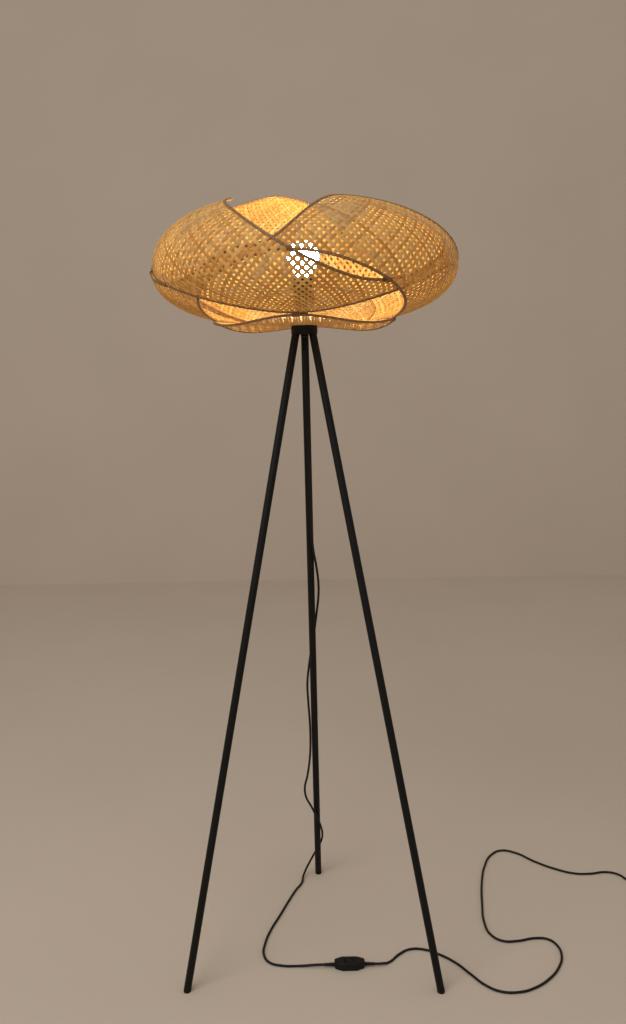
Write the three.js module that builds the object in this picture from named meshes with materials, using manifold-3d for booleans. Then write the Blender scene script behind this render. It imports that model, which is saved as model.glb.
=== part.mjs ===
// Floor lamp: a shade of four woven bamboo petals on a slim black tripod.
// Millimetres, +Z up, the origin on the floor under the lamp's axis, the front towards -Y.
// Two wavy woven rings, a quarter turn apart, pass over and under each other round the bulb.
// Each ring narrows to a neck twice, so it is made of two petals. A woven dish closes the
// underside and is clamped on the stand, and the rings are lashed to its edge at four points.

import * as THREE from 'three';
import { mergeVertices } from 'three/addons/utils/BufferGeometryUtils.js';
import Module from 'manifold-3d';

const wasm = await Module();
wasm.setup();

const degree = Math.PI / 180;
const turn = Math.PI * 2;

// Driving dimensions of the stand
const standHeight = 1304;
const hubThickness = 16;
const hubRadius = 25.5;
const hubBevel = 1.2;
const feetRadius = 291;
const legTopRadius = 19;
const legRadius = 7.5;
const legWall = 1.5;
const legCount = 3;
const legTurn = -1.7 * degree;

// Driving dimensions of the shade
const bodyRadius = 294;
const bodyMidRise = 111;
const crownRise = 128;
const bellyDrop = 112;
const crownRoundShare = 2.3;
const bellyRoundShare = 2.35;
const upperRimRise = 36;
const upperRimSwing = 80;
const upperRimTurn = 27 * degree;
const lowerRimDrop = 53;
const lowerRimSwing = 43.5;
const lowerRimTurn = -6 * degree;
const crownLean = 12;
const crownLeanTurn = 100 * degree;
const layerStep = 9;
const layerTurn = 61 * degree;
const weaveThickness = 2.4;
const rimDepth = 5;
const rimThickness = 4;
const dishLobeDrop = 12;
const dishSteps = 36;
const lashingRadius = 3;
const lashingLength = 16;
const neckTurn = -46 * degree;
const petalSteps = 36;
const petalRows = 7;
const leastOpening = 5;
const neckGap = 1;

// Small clearances
const seatGap = 0.3;
const sameGap = 0.0001;
const runGap = 0.4;
const cutOverrun = 4;

// Threaded tube, washers and holder
const nippleRadius = 4.9;
const nippleBore = 3.4;
const nutHeight = 5;
const nutRadius = 8;
const washerRadius = 25;
const washerThickness = 1.5;
const spacerHeight = 19;
const spacerRadius = 8;
const holderRadius = 20;
const holderWall = 2;
const holderFootRadius = 13;
const holderCapHeight = 26;
const holderShellHeight = 38;
const insertHeight = 11;
const insertLedge = 4;
const screwShellRadius = 14.8;
const screwShellWall = 0.6;
const screwShellHeight = 21;
const contactRadius = 4;
const contactHeight = 3;

// Bulb
const bulbRadius = 30;
const bulbLength = 108;
const bulbWall = 1;
const bulbNeckRadius = 12;
const bulbCapRadius = 13.2;
const bulbCapWall = 0.8;
const bulbCapTop = 27;
const bulbCapFoot = 6.5;
const bulbTipHeight = 2;
const bulbNeckEnd = 20;

// Leg fittings
const socketDepth = 5;
const socketGap = 0.3;
const insertLength = 24;
const boltRadius = 2.8;
const boltHeadRadius = 5;
const boltHeadHeight = 4;
const boltWeb = 4;
const boltLength = 30;
const footHeight = 9;
const footStem = 18;
const footBevel = 1;

// Cord, its grip, the inline switch and the plug
const cordRadius = 2.5;
const cordFloorGap = 0.3;
const gripRadius = 6.5;
const gripTipRadius = 4.2;
const gripHeight = 26;
const gripCollar = 7;
const gripSeat = 3;
const switchLength = 62;
const switchWidth = 27;
const switchEndWidth = 12;
const switchHeight = 16;
const switchSleeveLength = 20;
const switchSleeveRadius = 4.2;
const switchSplit = 7;
const switchBevel = 1.4;
const switchPosition = new THREE.Vector3(70, -72, 0);
const rockerLength = 19;
const rockerWidth = 9.6;
const rockerRise = 2.6;
const rockerDepth = 5;
const rockerPinRadius = 1.3;
const rockerPinReach = 1.8;
const rockerPinDrop = 1.8;
const rockerPinGap = 0.08;
const rockerTilt = 8 * degree;
const rockerWindowGap = 1.1;
const plugLength = 36;
const plugWidth = 34;
const plugNeckWidth = 15;
const plugHeight = 14;
const plugBevel = 2;
const plugSleeveLength = 20;
const plugSleeveRadius = 4.6;
const plugPinRadius = 2;
const plugPinLength = 19;
const plugPinSpacing = 18.6;
const coilInnerRadius = 21.5;
const coilTurns = 4;
const coilPitch = 5.6;
const coilLift = 1.6;
const coilCentre = new THREE.Vector3(826, 150, 0);
const coilTurn = 62 * degree;
const tieWidth = 6;
const tieThickness = 1;

const colours = { bamboo: 0xb98a4c, splint: 0x6d4a26, black: 0x121212, steel: 0xb9bcc0 };
colours.brass = 0xb08d46;
colours.porcelain = 0xe9e6de;
colours.glass = 0xfff3d8;

const lamp = new THREE.Group();

function material(colour, roughness, metalness = 0) {
  return new THREE.MeshStandardMaterial({ color: colour, roughness, metalness });
}

const bamboo = material(colours.bamboo, 0.7);
const splint = material(colours.splint, 0.6);
const blackMetal = material(colours.black, 0.5, 0.6);
const blackPlastic = material(colours.black, 0.45);
const steel = material(colours.steel, 0.3, 1);
const brass = material(colours.brass, 0.3, 1);
const porcelain = material(colours.porcelain, 0.5);
const glass = material(colours.glass, 0.1);

function add(name, geometry, finish, parent = lamp) {
  const mesh = new THREE.Mesh(geometry, finish);
  mesh.name = name;
  parent.add(mesh);
  return mesh;
}

// Geometry helpers

function plain(geometry) {
  const copy = geometry.index ? geometry : mergeVertices(geometry);
  copy.deleteAttribute('normal');
  copy.deleteAttribute('uv');
  return mergeVertices(copy, sameGap);
}

function facingOut(geometry) {
  const position = geometry.getAttribute('position');
  const index = geometry.index.array;
  const [a, b, c] = [new THREE.Vector3(), new THREE.Vector3(), new THREE.Vector3()];
  let volume = 0;
  for (let i = 0; i < index.length; i += 3) {
    a.fromBufferAttribute(position, index[i]);
    b.fromBufferAttribute(position, index[i + 1]);
    c.fromBufferAttribute(position, index[i + 2]);
    volume += a.dot(b.cross(c));
  }
  if (volume < 0) {
    for (let i = 0; i < index.length; i += 3) {
      [index[i], index[i + 1]] = [index[i + 1], index[i]];
    }
  }
  return geometry;
}

function meshOf(points, triangles) {
  const geometry = new THREE.BufferGeometry();
  geometry.setAttribute('position', new THREE.Float32BufferAttribute(points.flatMap((p) => p.toArray()), 3));
  geometry.setIndex(triangles);
  return facingOut(geometry);
}

// A body turned about Z from [radius, height] pairs. A profile off the axis closes on itself.
function turned(profile, segments) {
  const outline = profile.map(([radius, height]) => new THREE.Vector2(radius, height));
  if (profile[0][0] > 0) outline.push(outline[0].clone());
  const geometry = new THREE.LatheGeometry(outline, segments);
  geometry.rotateX(Math.PI / 2);
  return facingOut(dropFlat(plain(geometry)));
}

// Triangles that the axis has shrunk to a line are left out.
function dropFlat(geometry) {
  const kept = [];
  const index = geometry.index.array;
  for (let i = 0; i < index.length; i += 3) {
    const [a, b, c] = [index[i], index[i + 1], index[i + 2]];
    if (a !== b && b !== c && c !== a) kept.push(a, b, c);
  }
  geometry.setIndex(kept);
  return geometry;
}

function tubeBetween(innerRadius, outerRadius, low, high, segments) {
  return turned([[innerRadius, low], [outerRadius, low], [outerRadius, high], [innerRadius, high]], segments);
}

function rod(radius, low, high, segments) {
  return turned([[0, low], [radius, low], [radius, high], [0, high]], segments);
}

function swept(points, radius, steps, sides) {
  const section = new THREE.Shape();
  for (let side = 0; side < sides; side += 1) {
    const angle = (side / sides) * turn;
    const [x, y] = [radius * Math.cos(angle), radius * Math.sin(angle)];
    if (side) section.lineTo(x, y);
    else section.moveTo(x, y);
  }
  section.closePath();
  const path = new THREE.CatmullRomCurve3(points, false, 'centripetal');
  path.arcLengthDivisions = steps * sides;
  const geometry = new THREE.ExtrudeGeometry(section, { steps, extrudePath: path, bevelEnabled: false });
  return facingOut(plain(geometry));
}

function prism(outline, height, bevel = 0) {
  const shape = new THREE.Shape(outline.map(([x, y]) => new THREE.Vector2(x, y)));
  const settings = { depth: height - bevel * 2, bevelEnabled: bevel > 0, bevelSize: bevel };
  settings.bevelThickness = bevel;
  settings.bevelOffset = -bevel;
  settings.bevelSegments = 2;
  settings.curveSegments = 6;
  const geometry = new THREE.ExtrudeGeometry(shape, settings);
  geometry.translate(0, 0, bevel);
  return facingOut(plain(geometry));
}

function solidOf(geometry) {
  const clean = plain(geometry.clone());
  const vertProperties = Float32Array.from(clean.getAttribute('position').array);
  const triVerts = Uint32Array.from(clean.index.array);
  return new wasm.Manifold(new wasm.Mesh({ numProp: 3, vertProperties, triVerts }));
}

function geometryOf(solid) {
  const { vertProperties, triVerts } = solid.getMesh();
  const geometry = new THREE.BufferGeometry();
  geometry.setAttribute('position', new THREE.BufferAttribute(Float32Array.from(vertProperties), 3));
  geometry.setIndex(Array.from(triVerts));
  return facingOut(plain(geometry));
}

function cut(body, tools) {
  return geometryOf(tools.reduce((rest, tool) => rest.subtract(solidOf(tool)), solidOf(body)));
}

function joined(first, second) {
  return geometryOf(solidOf(first).add(solidOf(second)));
}

// A closed shell of one thickness on both sides of a surface given by two shares. Cells that are
// open are left out of both sides, and the cells round them get walls there.
function shell(surface, along, across, thickness, ring = false, isOpen = () => false) {
  const rows = ring ? along : along + 1;
  const columns = across + 1;
  const points = [];
  for (const side of [1, -1]) {
    for (let i = 0; i < rows; i += 1) {
      for (let j = 0; j < columns; j += 1) {
        const { point, normal } = surface(i / along, j / across);
        points.push(point.clone().addScaledVector(normal, side * thickness / 2));
      }
    }
  }
  const at = (side, i, j) => side * rows * columns + (i % rows) * columns + j;
  const triangles = [];
  const quad = (a, b, c, d) => triangles.push(a, b, c, a, c, d);
  const isEmpty = (i, j) => j < 0 || j >= across || (!ring && (i < 0 || i >= along)) || isOpen(i, j);
  for (let i = 0; i < along; i += 1) {
    for (let j = 0; j < across; j += 1) {
      if (isOpen(i, j)) continue;
      quad(at(0, i, j), at(0, i + 1, j), at(0, i + 1, j + 1), at(0, i, j + 1));
      quad(at(1, i, j), at(1, i, j + 1), at(1, i + 1, j + 1), at(1, i + 1, j));
      if (isEmpty(i, j - 1)) quad(at(1, i, j), at(1, i + 1, j), at(0, i + 1, j), at(0, i, j));
      if (isEmpty(i, j + 1)) quad(at(0, i, j + 1), at(0, i + 1, j + 1), at(1, i + 1, j + 1), at(1, i, j + 1));
      if (isEmpty(i - 1, j)) quad(at(1, i, j), at(0, i, j), at(0, i, j + 1), at(1, i, j + 1));
      if (isEmpty(i + 1, j)) quad(at(0, i + 1, j), at(1, i + 1, j), at(1, i + 1, j + 1), at(0, i + 1, j + 1));
    }
  }
  return meshOf(points, triangles);
}

// A closed bar that follows a loop: frame(share) gives its centre and its two section axes.
function loopBar(frame, depth, thickness, steps) {
  const corners = [[1, 1], [-1, 1], [-1, -1], [1, -1]];
  const points = [];
  for (let i = 0; i < steps; i += 1) {
    const { centre, out, normal } = frame(i / steps);
    for (const [u, v] of corners) {
      const corner = centre.clone().addScaledVector(out, u * depth / 2);
      points.push(corner.addScaledVector(normal, v * thickness / 2));
    }
  }
  const triangles = [];
  const count = corners.length;
  for (let i = 0; i < steps; i += 1) {
    for (let k = 0; k < count; k += 1) {
      const [a, b] = [i * count + k, i * count + ((k + 1) % count)];
      const [c, d] = [((i + 1) % steps) * count + ((k + 1) % count), ((i + 1) % steps) * count + k];
      triangles.push(a, b, c, a, c, d);
    }
  }
  return meshOf(points, triangles);
}

// Stand

const hubUnderside = standHeight - hubThickness;
const legTilt = Math.atan2(feetRadius - legTopRadius, hubUnderside);
const legLength = Math.hypot(feetRadius - legTopRadius, hubUnderside);
const legNames = ['back', 'front_left', 'front_right'];

// Each leg's frame stands on the floor at its foot, with +Z along the leg.
function legFrame(number) {
  const group = new THREE.Group();
  const angle = turn / 4 + legTurn + (number / legCount) * turn;
  group.rotation.order = 'ZYX';
  group.rotation.z = angle;
  group.rotation.y = -legTilt;
  group.position.set(feetRadius * Math.cos(angle), feetRadius * Math.sin(angle), 0);
  group.updateMatrix();
  return group;
}

const socketFloor = legLength + socketDepth;
const headSeat = socketFloor + boltWeb;
const frames = legNames.map((name, number) => legFrame(number));

function hub() {
  const half = hubRadius - hubBevel;
  const block = turned([
    [0, hubUnderside], [half, hubUnderside], [hubRadius, hubUnderside + hubBevel],
    [hubRadius, standHeight - hubBevel], [half, standHeight], [0, standHeight],
  ], 28);
  const tools = [rod(nippleRadius + seatGap, hubUnderside - cutOverrun, standHeight + cutOverrun, 20)];
  for (const frame of frames) {
    const socket = rod(legRadius + socketGap, legLength - cutOverrun * 2, socketFloor, 16);
    const bore = rod(boltRadius + seatGap, legLength, headSeat + cutOverrun, 10);
    const recess = rod(boltHeadRadius + seatGap * 2, headSeat, headSeat + hubThickness, 12);
    for (const tool of [socket, bore, recess]) tools.push(tool.applyMatrix4(frame.matrix));
  }
  return cut(block, tools);
}

function foot(frame) {
  const stemRadius = legRadius - legWall - seatGap;
  const blank = turned([
    [0, -cutOverrun], [legRadius - footBevel, -cutOverrun], [legRadius, footBevel * 2],
    [legRadius, footHeight], [stemRadius, footHeight], [stemRadius, footHeight + footStem],
    [0, footHeight + footStem],
  ], 20);
  const below = new THREE.BoxGeometry(legRadius * 6, legRadius * 6, legRadius * 6);
  below.translate(feetRadius * Math.cos(frame.rotation.z), feetRadius * Math.sin(frame.rotation.z), -legRadius * 3);
  return cut(blank, [below.applyMatrix4(frame.matrix.clone().invert())]);
}

function stand() {
  add('hub', hub(), blackMetal);
  const tubeTop = socketFloor - seatGap;
  const boltBore = boltRadius + seatGap;
  legNames.forEach((name, number) => {
    const frame = frames[number];
    lamp.add(frame);
    const tube = tubeBetween(legRadius - legWall, legRadius, footHeight + seatGap, tubeTop, 20);
    add(`leg_${name}`, tube, blackMetal, frame);
    add(`foot_${name}`, foot(frame), blackPlastic, frame);
    const nut = tubeBetween(boltBore, legRadius - legWall - seatGap, tubeTop - insertLength, tubeTop, 16);
    add(`leg_nut_${name}`, nut, steel, frame);
    const headLow = headSeat + seatGap;
    const bolt = turned([
      [0, headLow - boltLength], [boltRadius, headLow - boltLength], [boltRadius, headLow],
      [boltHeadRadius, headLow], [boltHeadRadius, headLow + boltHeadHeight], [0, headLow + boltHeadHeight],
    ], 12);
    add(`leg_bolt_${name}`, bolt, steel, frame);
  });
}

// Threaded tube, dish clamp and lamp holder, all stacked on the hub

const lowerWasherFoot = standHeight + seatGap;
const dishFloor = lowerWasherFoot + washerThickness + seatGap + weaveThickness / 2;
const upperWasherFoot = dishFloor + weaveThickness / 2 + seatGap;
const spacerFoot = upperWasherFoot + washerThickness + seatGap;
const holderFoot = spacerFoot + spacerHeight + seatGap;
const insertFoot = holderFoot + holderCapHeight - insertHeight - insertLedge;
const insertTop = insertFoot + insertHeight;
const nutFoot = hubUnderside - seatGap - nutHeight;
const gripTop = nutFoot - seatGap;
const gripFoot = gripTop - gripHeight;
const holderTop = holderFoot + holderCapHeight + seatGap + holderShellHeight;
const bulbTip = insertTop + seatGap + contactHeight + seatGap;

function clampStack() {
  const passing = nippleRadius + seatGap;
  const nippleTop = holderFoot + holderWall + insertLedge;
  add('threaded_tube', tubeBetween(nippleBore, nippleRadius, gripTop - gripCollar + seatGap * 2, nippleTop, 20), steel);
  const nut = rod(nutRadius, nutFoot, nutFoot + nutHeight, 6);
  const bore = rod(passing, nutFoot - cutOverrun, nutFoot + nutHeight + cutOverrun, 20);
  add('tube_nut', cut(nut, [bore]), steel);
  add('cord_grip', turned([
    [cordRadius + seatGap, gripFoot], [gripTipRadius, gripFoot], [gripRadius, gripTop - gripCollar],
    [gripRadius, gripTop], [passing, gripTop], [passing, gripTop - gripCollar + seatGap],
    [cordRadius + seatGap, gripTop - gripCollar + seatGap],
  ], 20), blackPlastic);
  const washer = (low) => tubeBetween(passing, washerRadius, low, low + washerThickness, 24);
  add('dish_washer_lower', washer(lowerWasherFoot), steel);
  add('dish_washer_upper', washer(upperWasherFoot), steel);
  add('spacer_sleeve', tubeBetween(passing, spacerRadius, spacerFoot, spacerFoot + spacerHeight, 20), blackMetal);
}

function lampHolder() {
  const inside = holderRadius - holderWall;
  const passing = nippleRadius + seatGap;
  const capTop = holderFoot + holderCapHeight;
  add('holder_cap', turned([
    [passing, holderFoot], [holderFootRadius, holderFoot], [holderRadius, holderFoot + holderCapHeight / 2],
    [holderRadius, capTop], [inside, capTop], [inside, insertFoot - seatGap],
    [inside - holderWall * 2, insertFoot - seatGap], [holderFootRadius - holderWall, holderFoot + holderWall],
    [passing, holderFoot + holderWall],
  ], 24), blackPlastic);
  add('holder_insert', rod(inside - seatGap, insertFoot, insertTop, 24), porcelain);
  const collar = inside - seatGap;
  const bore = screwShellRadius + runGap;
  add('holder_shell', turned([
    [bore, insertTop + seatGap], [collar, insertTop + seatGap], [collar, capTop + seatGap],
    [holderRadius, capTop + seatGap], [holderRadius, holderTop - holderWall],
    [holderRadius - holderWall / 2, holderTop], [bore, holderTop],
  ], 24), blackPlastic);
  const brassFoot = insertTop + seatGap;
  const innerBrass = screwShellRadius - screwShellWall;
  add('screw_shell', tubeBetween(innerBrass, screwShellRadius, brassFoot, brassFoot + screwShellHeight, 24), brass);
  add('centre_contact', rod(contactRadius, brassFoot, brassFoot + contactHeight, 12), brass);
}

// Bulb: a round envelope that runs tangent into its neck, open where the metal cap holds it

function bulbOutline(offset) {
  const centre = bulbTip + bulbLength - bulbRadius;
  const radius = bulbRadius - offset;
  const neck = bulbNeckRadius - offset;
  const points = [];
  const roundSteps = 7;
  const lowest = -38 * degree;
  for (let step = 0; step <= roundSteps; step += 1) {
    const angle = turn / 4 + (lowest - turn / 4) * (step / roundSteps);
    points.push([Math.max(0, radius * Math.cos(angle)), centre + radius * Math.sin(angle)]);
  }
  points[0][0] = 0;
  points.push([neck, bulbTip + bulbCapTop + bulbNeckRadius / 2]);
  points.push([neck, bulbTip + bulbNeckEnd]);
  return points;
}

function bulb() {
  const outline = [...bulbOutline(0), ...bulbOutline(bulbWall).reverse()];
  add('bulb_glass', turned(outline, 20), glass);
  const capInside = bulbCapRadius - bulbCapWall;
  const [capFoot, capTop] = [bulbTip + bulbCapFoot, bulbTip + bulbCapTop];
  add('bulb_cap', tubeBetween(capInside, bulbCapRadius, capFoot, capTop, 24), brass);
  const base = capFoot - seatGap;
  add('bulb_base', turned([
    [0, bulbTip], [contactRadius, bulbTip], [contactRadius, bulbTip + bulbTipHeight],
    [bulbCapRadius - bulbCapWall, base], [capInside - seatGap, base], [capInside - seatGap, capFoot + bulbCapWall],
    [0, capFoot + bulbCapWall],
  ], 16), blackPlastic);
}

// Shade: a round body of revolution that both woven rings lie on. Its crown leans to the back.

const bodyMiddle = standHeight + bodyMidRise;

function bodyRadiusAt(height, lean) {
  const crownShare = THREE.MathUtils.clamp((height - bodyMiddle) / (crownRise - crownLean), 0, 1);
  const upright = height - lean * crownShare;
  const above = upright > bodyMiddle;
  const round = above ? crownRoundShare : bellyRoundShare;
  const reachShare = Math.min(0.995, Math.abs(upright - bodyMiddle) / (above ? crownRise : bellyDrop));
  return bodyRadius * (1 - reachShare ** round) ** (1 / round);
}

// Heights of a ring's two edges. Ring 1 is ring 0 turned by a quarter turn.
function ringEdges(ring, angle) {
  const own = angle - ring * turn / 4;
  const low = bodyMiddle - lowerRimDrop + lowerRimSwing * Math.cos(2 * (own - lowerRimTurn));
  const high = bodyMiddle + upperRimRise + upperRimSwing * Math.cos(2 * (own - upperRimTurn));
  const step = layerStep * Math.cos(2 * (own - layerTurn));
  const peakShare = (1 + Math.cos(2 * (own - upperRimTurn))) / 2;
  return { low, high, step, peakShare };
}

function ringPoint(ring, angle, share) {
  const { low, high, step, peakShare } = ringEdges(ring, angle);
  const lean = crownLean * Math.cos(angle - crownLeanTurn);
  const ownLean = lean > 0 ? lean * peakShare : lean;
  const height = low + (high - low) * share + ownLean * share;
  const radius = bodyRadiusAt(height, lean) + step;
  return new THREE.Vector3(radius * Math.cos(angle), radius * Math.sin(angle), height);
}

// The point, the direction across the ring towards its upper edge, and the outward normal.
function ringFrame(ring, angle, share) {
  const littleShare = 0.01;
  const from = Math.min(share, 1 - littleShare);
  const point = ringPoint(ring, angle, share);
  const rise = ringPoint(ring, angle, from + littleShare).sub(ringPoint(ring, angle, from)).normalize();
  const before = ringPoint(ring, angle - littleShare, share);
  const travel = ringPoint(ring, angle + littleShare, share).sub(before).normalize();
  const normal = travel.clone().cross(rise).normalize();
  const across = normal.clone().cross(travel).normalize();
  return { point, across, normal };
}

function petal(ring, start, stop) {
  const trim = neckGap / 2 / bodyRadius;
  const surface = (along, across) => {
    const angle = start + trim + (stop - start - trim * 2) * along;
    return ringFrame(ring, angle, across);
  };
  // The open weave stands as a plain grid: every other row, and two steps of each three along it.
  // Towards the necks, where an opening would be lower than a strip is wide, the petal stays closed.
  const isTall = (step, row) => {
    const [low, high] = [row, row + 1].map((line) => surface(step / petalSteps, line / petalRows).point);
    return low.distanceTo(high) > leastOpening;
  };
  const isOpen = (step, row) => {
    const first = step - ((step % 3) - 1);
    return row % 2 === 1 && step % 3 !== 0 && isTall(first, row) && isTall(first + 2, row);
  };
  return shell(surface, petalSteps, petalRows, weaveThickness, false, isOpen);
}

function rimFrame(ring, edgeShare, angle) {
  const { point, across, normal } = ringFrame(ring, angle, edgeShare);
  const way = edgeShare ? 1 : -1;
  const centre = point.addScaledVector(across, way * (rimDepth / 2 + seatGap));
  return { centre, out: across, normal };
}

// A rim bends where its petals bend, so that both keep one gap all the way round.
function rim(ring, edgeShare) {
  const frame = (share) => rimFrame(ring, edgeShare, neckTurn + ring * turn / 4 + share * turn);
  return loopBar(frame, rimDepth, rimThickness, petalSteps * 2);
}

// The same place on the straight stretch between two bends
function rimSpan(ring, edgeShare, angle) {
  const step = turn / (petalSteps * 2);
  const start = neckTurn + ring * turn / 4;
  const whole = Math.floor((angle - start) / step);
  const share = (angle - start) / step - whole;
  const [one, two] = [whole, whole + 1].map((count) => rimFrame(ring, edgeShare, start + count * step));
  return { centre: one.centre.lerp(two.centre, share), normal: one.normal.lerp(two.normal, share).normalize() };
}

const lowPoint = lowerRimTurn + turn / 4;
const rimLow = rimFrame(0, 0, lowPoint);
const rimLowHalf = (rimDepth * Math.abs(rimLow.out.z) + rimThickness * Math.abs(rimLow.normal.z)) / 2;
const dishRimRadius = Math.hypot(rimLow.centre.x, rimLow.centre.y);
const dishRimHigh = rimLow.centre.z - rimLowHalf - rimThickness / 2 - seatGap;
const dishRadius = dishRimRadius - rimDepth / 2 - seatGap;

function dishEdgeHeight(angle) {
  return dishRimHigh - dishLobeDrop * (1 - Math.cos(4 * (angle - lowerRimTurn))) / 2;
}

// The dish is flat under the washers and then sinks or rises to its four hanging lobes.
function dishPoint(angle, radius) {
  const share = Math.max(0, (radius - washerRadius) / (dishRadius - washerRadius));
  const height = dishFloor + (dishEdgeHeight(angle) - dishFloor) * share * share;
  return new THREE.Vector3(radius * Math.cos(angle), radius * Math.sin(angle), height);
}

function dish() {
  const hole = nippleRadius + seatGap;
  const radiusShares = [0, (washerRadius - hole) / (dishRadius - hole), 0.45, 0.75, 1];
  const surface = (along, across) => {
    const angle = lowPoint + along * turn;
    const radius = hole + (dishRadius - hole) * radiusShares[Math.round(across * 4)];
    return { point: dishPoint(angle, radius), normal: new THREE.Vector3(0, 0, -1) };
  };
  return shell(surface, dishSteps, 4, weaveThickness, true);
}

function dishRimFrame(angle) {
  const out = new THREE.Vector3(Math.cos(angle), Math.sin(angle), 0);
  const centre = out.clone().multiplyScalar(dishRimRadius);
  centre.z = dishEdgeHeight(angle);
  return { centre, out, normal: new THREE.Vector3(0, 0, 1) };
}

// A lashing lies along the dish's rim, under the petal that it ties down.
function lashing(number) {
  const angle = lowPoint + (number / 4) * turn;
  const half = lashingLength / 2;
  const body = turned([
    [0, -half], [lashingRadius / 2, -half], [lashingRadius, lashingRadius - half],
    [lashingRadius, half - lashingRadius], [lashingRadius / 2, half], [0, half],
  ], 8);
  const radius = dishRimRadius + rimDepth / 2 + seatGap + lashingRadius;
  body.rotateX(turn / 4);
  body.rotateZ(angle);
  body.translate(radius * Math.cos(angle), radius * Math.sin(angle), dishEdgeHeight(angle));
  return body;
}

// Angles where the upper rim of one ring passes the lower rim of the other
function crossingAngles(ring) {
  const height = (angle) => rimSpan(ring, 1, angle).centre.z - rimSpan(1 - ring, 0, angle).centre.z;
  const angles = [];
  const steps = 180;
  for (let step = 0; step < steps; step += 1) {
    let [low, high] = [(step / steps) * turn, ((step + 1) / steps) * turn];
    if (height(low) * height(high) > 0) continue;
    for (let halving = 0; halving < 30; halving += 1) {
      const middle = (low + high) / 2;
      if (height(low) * height(middle) > 0) low = middle;
      else high = middle;
    }
    angles.push((low + high) / 2);
  }
  return angles;
}

function crossingPad(ring, angle) {
  const one = rimSpan(ring, 1, angle);
  const other = rimSpan(1 - ring, 0, angle);
  const between = other.centre.clone().sub(one.centre);
  const length = Math.abs(between.dot(one.normal)) - rimThickness - seatGap * 2;
  const pad = rod(rimThickness / 2, -length / 2, length / 2, 8);
  pad.applyQuaternion(new THREE.Quaternion().setFromUnitVectors(new THREE.Vector3(0, 0, 1), one.normal));
  const middle = one.centre.clone().add(other.centre).multiplyScalar(0.5);
  pad.translate(middle.x, middle.y, middle.z);
  return pad;
}

function shade() {
  const half = turn / 2;
  const quarter = turn / 4;
  add('petal_front_left', petal(0, neckTurn - half, neckTurn), bamboo);
  add('petal_back_right', petal(0, neckTurn, neckTurn + half), bamboo);
  add('petal_front_right', petal(1, neckTurn - half + quarter, neckTurn + quarter), bamboo);
  add('petal_back_left', petal(1, neckTurn + quarter, neckTurn + half + quarter), bamboo);
  for (const ring of [0, 1]) {
    add(`rim_upper_${ring + 1}`, rim(ring, 1), splint);
    add(`rim_lower_${ring + 1}`, rim(ring, 0), splint);
  }
  add('dish', dish(), bamboo);
  add('dish_rim', loopBar((share) => dishRimFrame(lowPoint + share * turn), rimDepth, rimThickness, dishSteps), splint);
  for (let number = 0; number < 4; number += 1) add(`lashing_${number + 1}`, lashing(number), splint);
  const places = [0, 1].flatMap((ring) => crossingAngles(ring).map((angle) => [ring, angle]));
  places.forEach(([ring, angle], place) => add(`crossing_pad_${place + 1}`, crossingPad(ring, angle), splint));
}

// Cord. Each point beside the back leg is [offset to the right, offset to the back, height].

const cordLevel = cordRadius + cordFloorGap;
const gripExit = gripFoot + gripSeat;
const legSidePoints = [
  [1, -12, 1150], [2, -11, 1040], [3, -11, 930], [6, -10.5, 849], [12, -6, 807], [16, 0, 763],
  [15, 5, 731], [10, 9, 690], [4, 12, 645], [-4, 12, 600], [-10, 8, 560], [-14, 2, 524], [-13, -2, 475],
  [-11, -4, 431], [-10.5, -5, 381], [-13, -5, 332], [-20, -5, 282], [-27, -7, 249], [-24, -10, 225],
  [-12, -13, 200], [-2, -13, 175], [8, -9, 145], [12, 0, 114], [8, 9, 88], [-2, 13, 64], [-16, 9, 38],
  [-30, -6, 16], [-37, -24, 6.5],
];
const floorToSwitchPoints = [
  [-31, 246], [-45, 214], [-60, 172], [-80, 110], [-97, 60], [-108, 10], [-109, -30], [-96, -56], [-70, -67],
  [-35, -69],
];
const floorToCoilPoints = [
  [152, -62], [176, -36], [200, -20], [228, -21], [262, -41], [290, -68], [314, -104], [338, -139],
  [364, -158], [400, -161], [434, -149], [469, -123], [498, -87], [514, -48], [513, -14], [500, 6], [475, 11],
  [433, 2], [402, 3], [381, 25], [375, 70], [383, 139], [401, 238], [420, 304], [446, 356], [477, 378],
  [510, 365], [548, 322], [590, 286], [632, 264], [671, 262], [706, 268], [733, 258], [748, 232], [766, 205],
];

function legSide([right, back, height]) {
  const angle = turn / 4 + legTurn;
  const radius = feetRadius - height * Math.tan(legTilt);
  return new THREE.Vector3(radius * Math.cos(angle) + right, radius * Math.sin(angle) + back, height);
}

const onFloor = ([x, y]) => new THREE.Vector3(x, y, cordLevel);
const straightRun = cordRadius * 5;
const switchExit = (side) => switchPosition.clone().add(new THREE.Vector3(
  side * (switchLength / 2 + seatGap + switchSleeveLength), 0, switchSplit));

function straightFrom(point, way, lengths) {
  return lengths.map((length) => point.clone().addScaledVector(way, length));
}

// The coil spirals in, climbs one layer where it reverses and spirals out at the same rate.
function coilPoint(angle) {
  const middle = coilTurns * turn / 2;
  const radius = coilInnerRadius + coilPitch * Math.abs(angle - middle) / turn;
  const climbShare = THREE.MathUtils.clamp((angle - middle) / (turn / 2) + 0.5, 0, 1);
  const height = cordRadius + coilLift + coilPitch * climbShare;
  const way = coilTurn - angle;
  return new THREE.Vector3(
    coilCentre.x + radius * Math.cos(way), coilCentre.y + radius * Math.sin(way), height);
}

function coilTangent(angle) {
  const littleShare = 0.001;
  const way = coilPoint(angle + littleShare).sub(coilPoint(angle - littleShare));
  way.z = 0;
  return way.normalize();
}

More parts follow.
